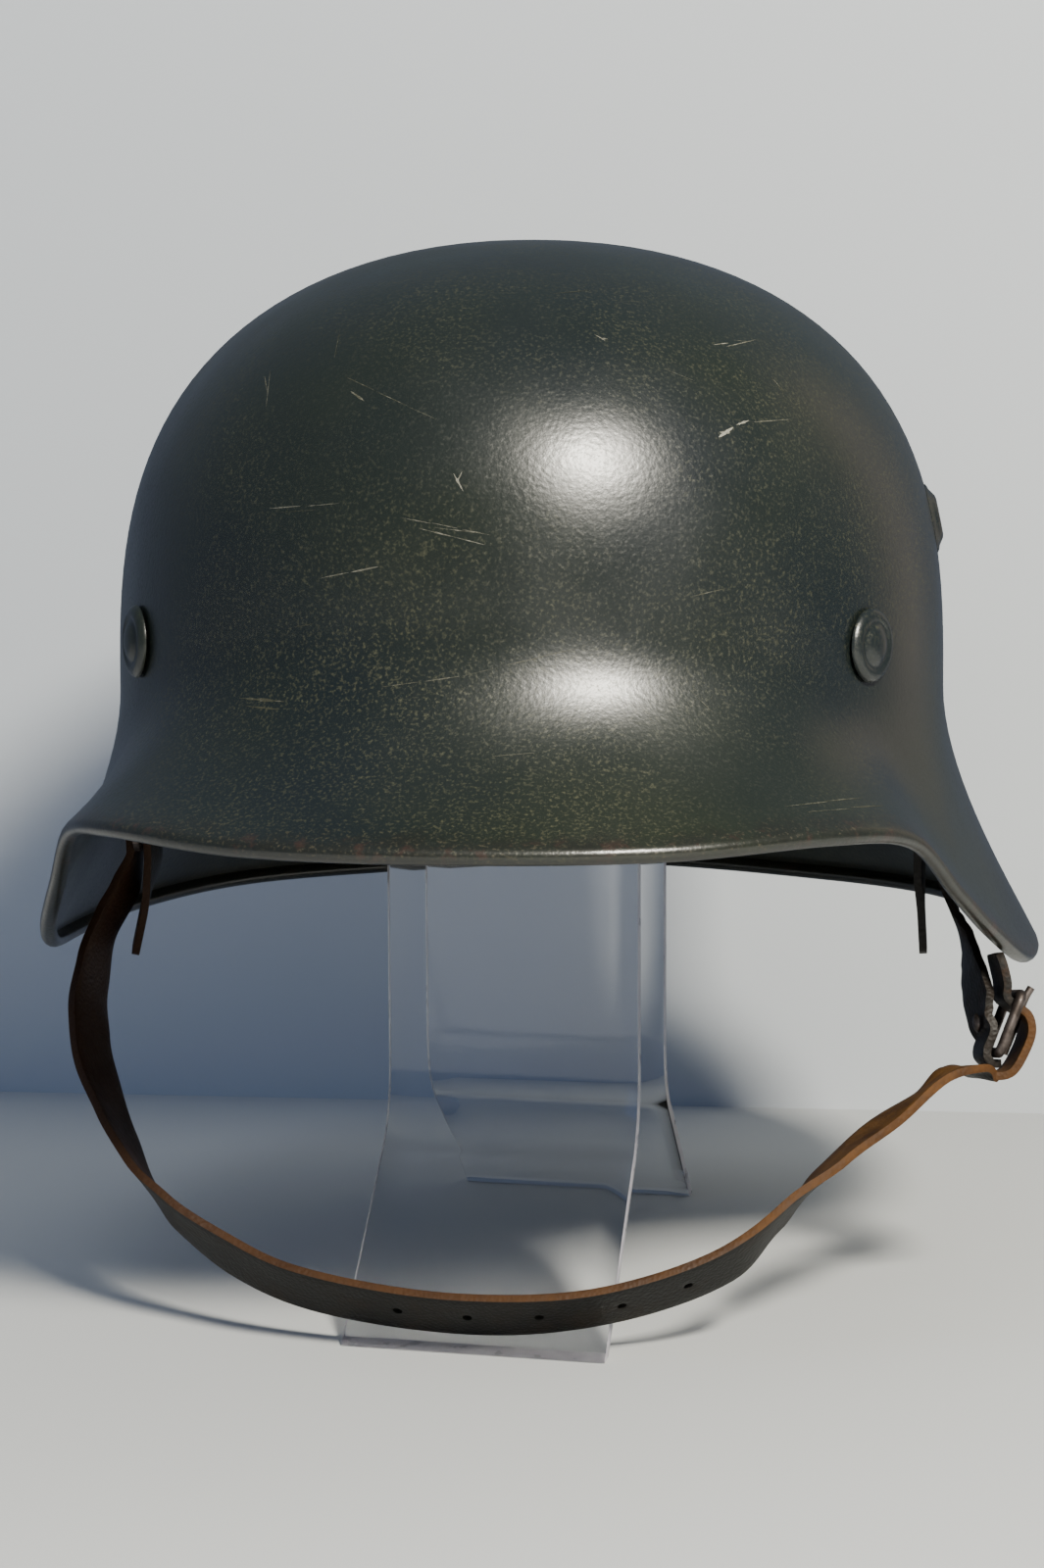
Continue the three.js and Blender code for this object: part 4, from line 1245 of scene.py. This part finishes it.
metal = Finish("darkened_steel")
worn = metal.ramp(metal.noise(300, 4, 0.6), 0.4, 0.65)
metal.set(Base_Color=metal.mix(worn, STEEL_DARK, STEEL_LIGHT))
metal.set(Roughness=metal.ramp(worn, 0, 1, 0.55, 0.36))
metal.set(Metallic=0.9)
metal.set(Normal=metal.bump(metal.noise(700, 3), 0.2, 0.0003))
hangers = [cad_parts["strap_hanger_" + side] for side in ("left", "right")]
for piece in (buckle, prong, stud, *hangers):
    give_material(piece, metal.material)

# %% Clear plastic
CLEAR_TINT = (0.97, 0.975, 0.99, 1.0)
SAWN_DARK = (0.40, 0.38, 0.42)
SAWN_LIGHT = (0.55, 0.53, 0.57)

clear = Finish("clear_plastic")
clear.set(Base_Color=CLEAR_TINT, Transmission_Weight=1.0, IOR=1.3)
haze = clear.ramp(clear.noise(30, 3), 0.35, 0.7, 0.0, 0.05)
clear.set(Roughness=haze)
sawn = Finish("plastic_cut_edge")
frost = sawn.ramp(sawn.noise(200, 3), 0.3, 0.7)
sawn.set(Base_Color=sawn.mix(frost, SAWN_DARK, SAWN_LIGHT))
sawn.set(Roughness=sawn.ramp(frost, 0, 1, 0.25, 0.4))
sawn.set(Alpha=0.6)
stand.data.materials[0] = clear.material
stand.data.materials[1] = sawn.material

# %% [markdown]
# ## Bodies
# The helmet is one rigid thing, so every piece rides on its only body. The new pieces are listed by
# finish and counted.

# %% Bodies
pieces = {
    "paint": painted + [marks],
    "leather": [long_strap, short_strap],
    "fittings": [buckle, prong, stud],
    "clear_sheet": [stand],
}
for slot, members in pieces.items():
    for piece in members:
        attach(piece, "root")
print("pieces:", {slot: len(members) for slot, members in pieces.items()})

# %% [markdown]
# ## Floor, backdrop and light
# The helmet stands on a pale table before a pale wall. Both are seen from their front alone, so that they
# never hide the helmet from behind or from below. One warm softbox on the viewer's right makes the bright
# patches on the dome and above the visor. Two cooler lamps fill the shadows without showing in the paint,
# and a dim warm one tints the dome's edge. The wall doesn't show in reflections, as a real room is darker
# there.

# %% Floor and backdrop
TABLE_BACK = 0.20  # how far behind the helmet the table ends, in metres
WALL_HEIGHT = 3.0
HALF_SPAN = 3.0
TABLE_GAP = 0.0002  # keeps the table just below the feet
WALL_FOOT = 0.02  # how far the wall reaches below the table
TABLE_COLOUR = (0.43, 0.44, 0.44)
WALL_COLOUR = (0.43, 0.455, 0.48)


def backdrop_finish(name, colour):
    finish = Finish(name)
    tint = finish.ramp(finish.noise(2.5, 3), 0.3, 0.7)
    darker = tuple(v * 0.97 for v in colour)
    finish.set(Base_Color=finish.mix(tint, colour, darker))
    finish.set(Roughness=0.75)
    behind = finish.add("ShaderNodeNewGeometry").outputs["Backfacing"]
    clear_back = finish.add("ShaderNodeBsdfTransparent").outputs[0]
    choose = finish.add("ShaderNodeMixShader", {0: behind, 1: finish.shader.outputs[0], 2: clear_back})
    finish.fill(finish.tree.nodes["Material Output"], {"Surface": choose.outputs[0]})
    return finish.material


deselect()
bpy.ops.mesh.primitive_plane_add(size=2 * HALF_SPAN, location=(0, TABLE_BACK - HALF_SPAN, -TABLE_GAP))
floor = settle(bpy.context.object)
floor.name = "floor"
give_material(floor, backdrop_finish("pale_table", TABLE_COLOUR))
deselect()
bpy.ops.mesh.primitive_plane_add(
    size=2 * HALF_SPAN, location=(0, TABLE_BACK, WALL_HEIGHT - WALL_FOOT), rotation=(math.pi / 2, 0, 0)
)
wall = settle(bpy.context.object)
wall.name = "backdrop"
give_material(wall, backdrop_finish("pale_wall", WALL_COLOUR))
wall.visible_glossy = False

# %% Light
LOOK_AT = Vector((0.02, -0.1, 0.17))
ROOM_COLOUR = (0.62, 0.74, 1.0, 1.0)
ROOM_STRENGTH = 0.24


def softbox(name, azimuth, elevation, distance, size, power, colour, mirrored=True):
    """A rectangular lamp that faces the helmet, from an azimuth counted from the visor to the left side."""
    a, e = math.radians(azimuth), math.radians(elevation)
    away = Vector((math.sin(a) * math.cos(e), -math.cos(a) * math.cos(e), math.sin(e)))
    deselect()
    bpy.ops.object.light_add(type="AREA", location=LOOK_AT + away * distance)
    lamp = bpy.context.object
    lamp.name = name
    lamp.rotation_euler = away.to_track_quat("Z", "Y").to_euler()
    lamp.data.shape = "RECTANGLE"
    lamp.data.size, lamp.data.size_y = size
    lamp.data.energy = power
    lamp.data.color = colour
    lamp.visible_glossy = mirrored


# azimuth and elevation in degrees, distance and size in metres, power in watts
softbox("key_softbox", 35, 38, 1.2, (0.26, 0.20), 48.0, (1.0, 0.95, 0.83))
softbox("top_light", -30, 62, 1.3, (0.5, 0.5), 2.0, (0.80, 0.88, 1.0), mirrored=False)
softbox("cool_fill", -60, 18, 1.5, (0.9, 0.9), 4.5, (0.26, 0.46, 1.0), mirrored=False)
softbox("warm_side", 138, 10, 1.2, (0.4, 1.0), 0.5, (1.0, 0.74, 0.44))

world = bpy.data.worlds.new("soft_room")
world.use_nodes = True
sky = world.node_tree.nodes["Background"].inputs
sky["Color"].default_value = ROOM_COLOUR
sky["Strength"].default_value = ROOM_STRENGTH
bpy.context.scene.world = world
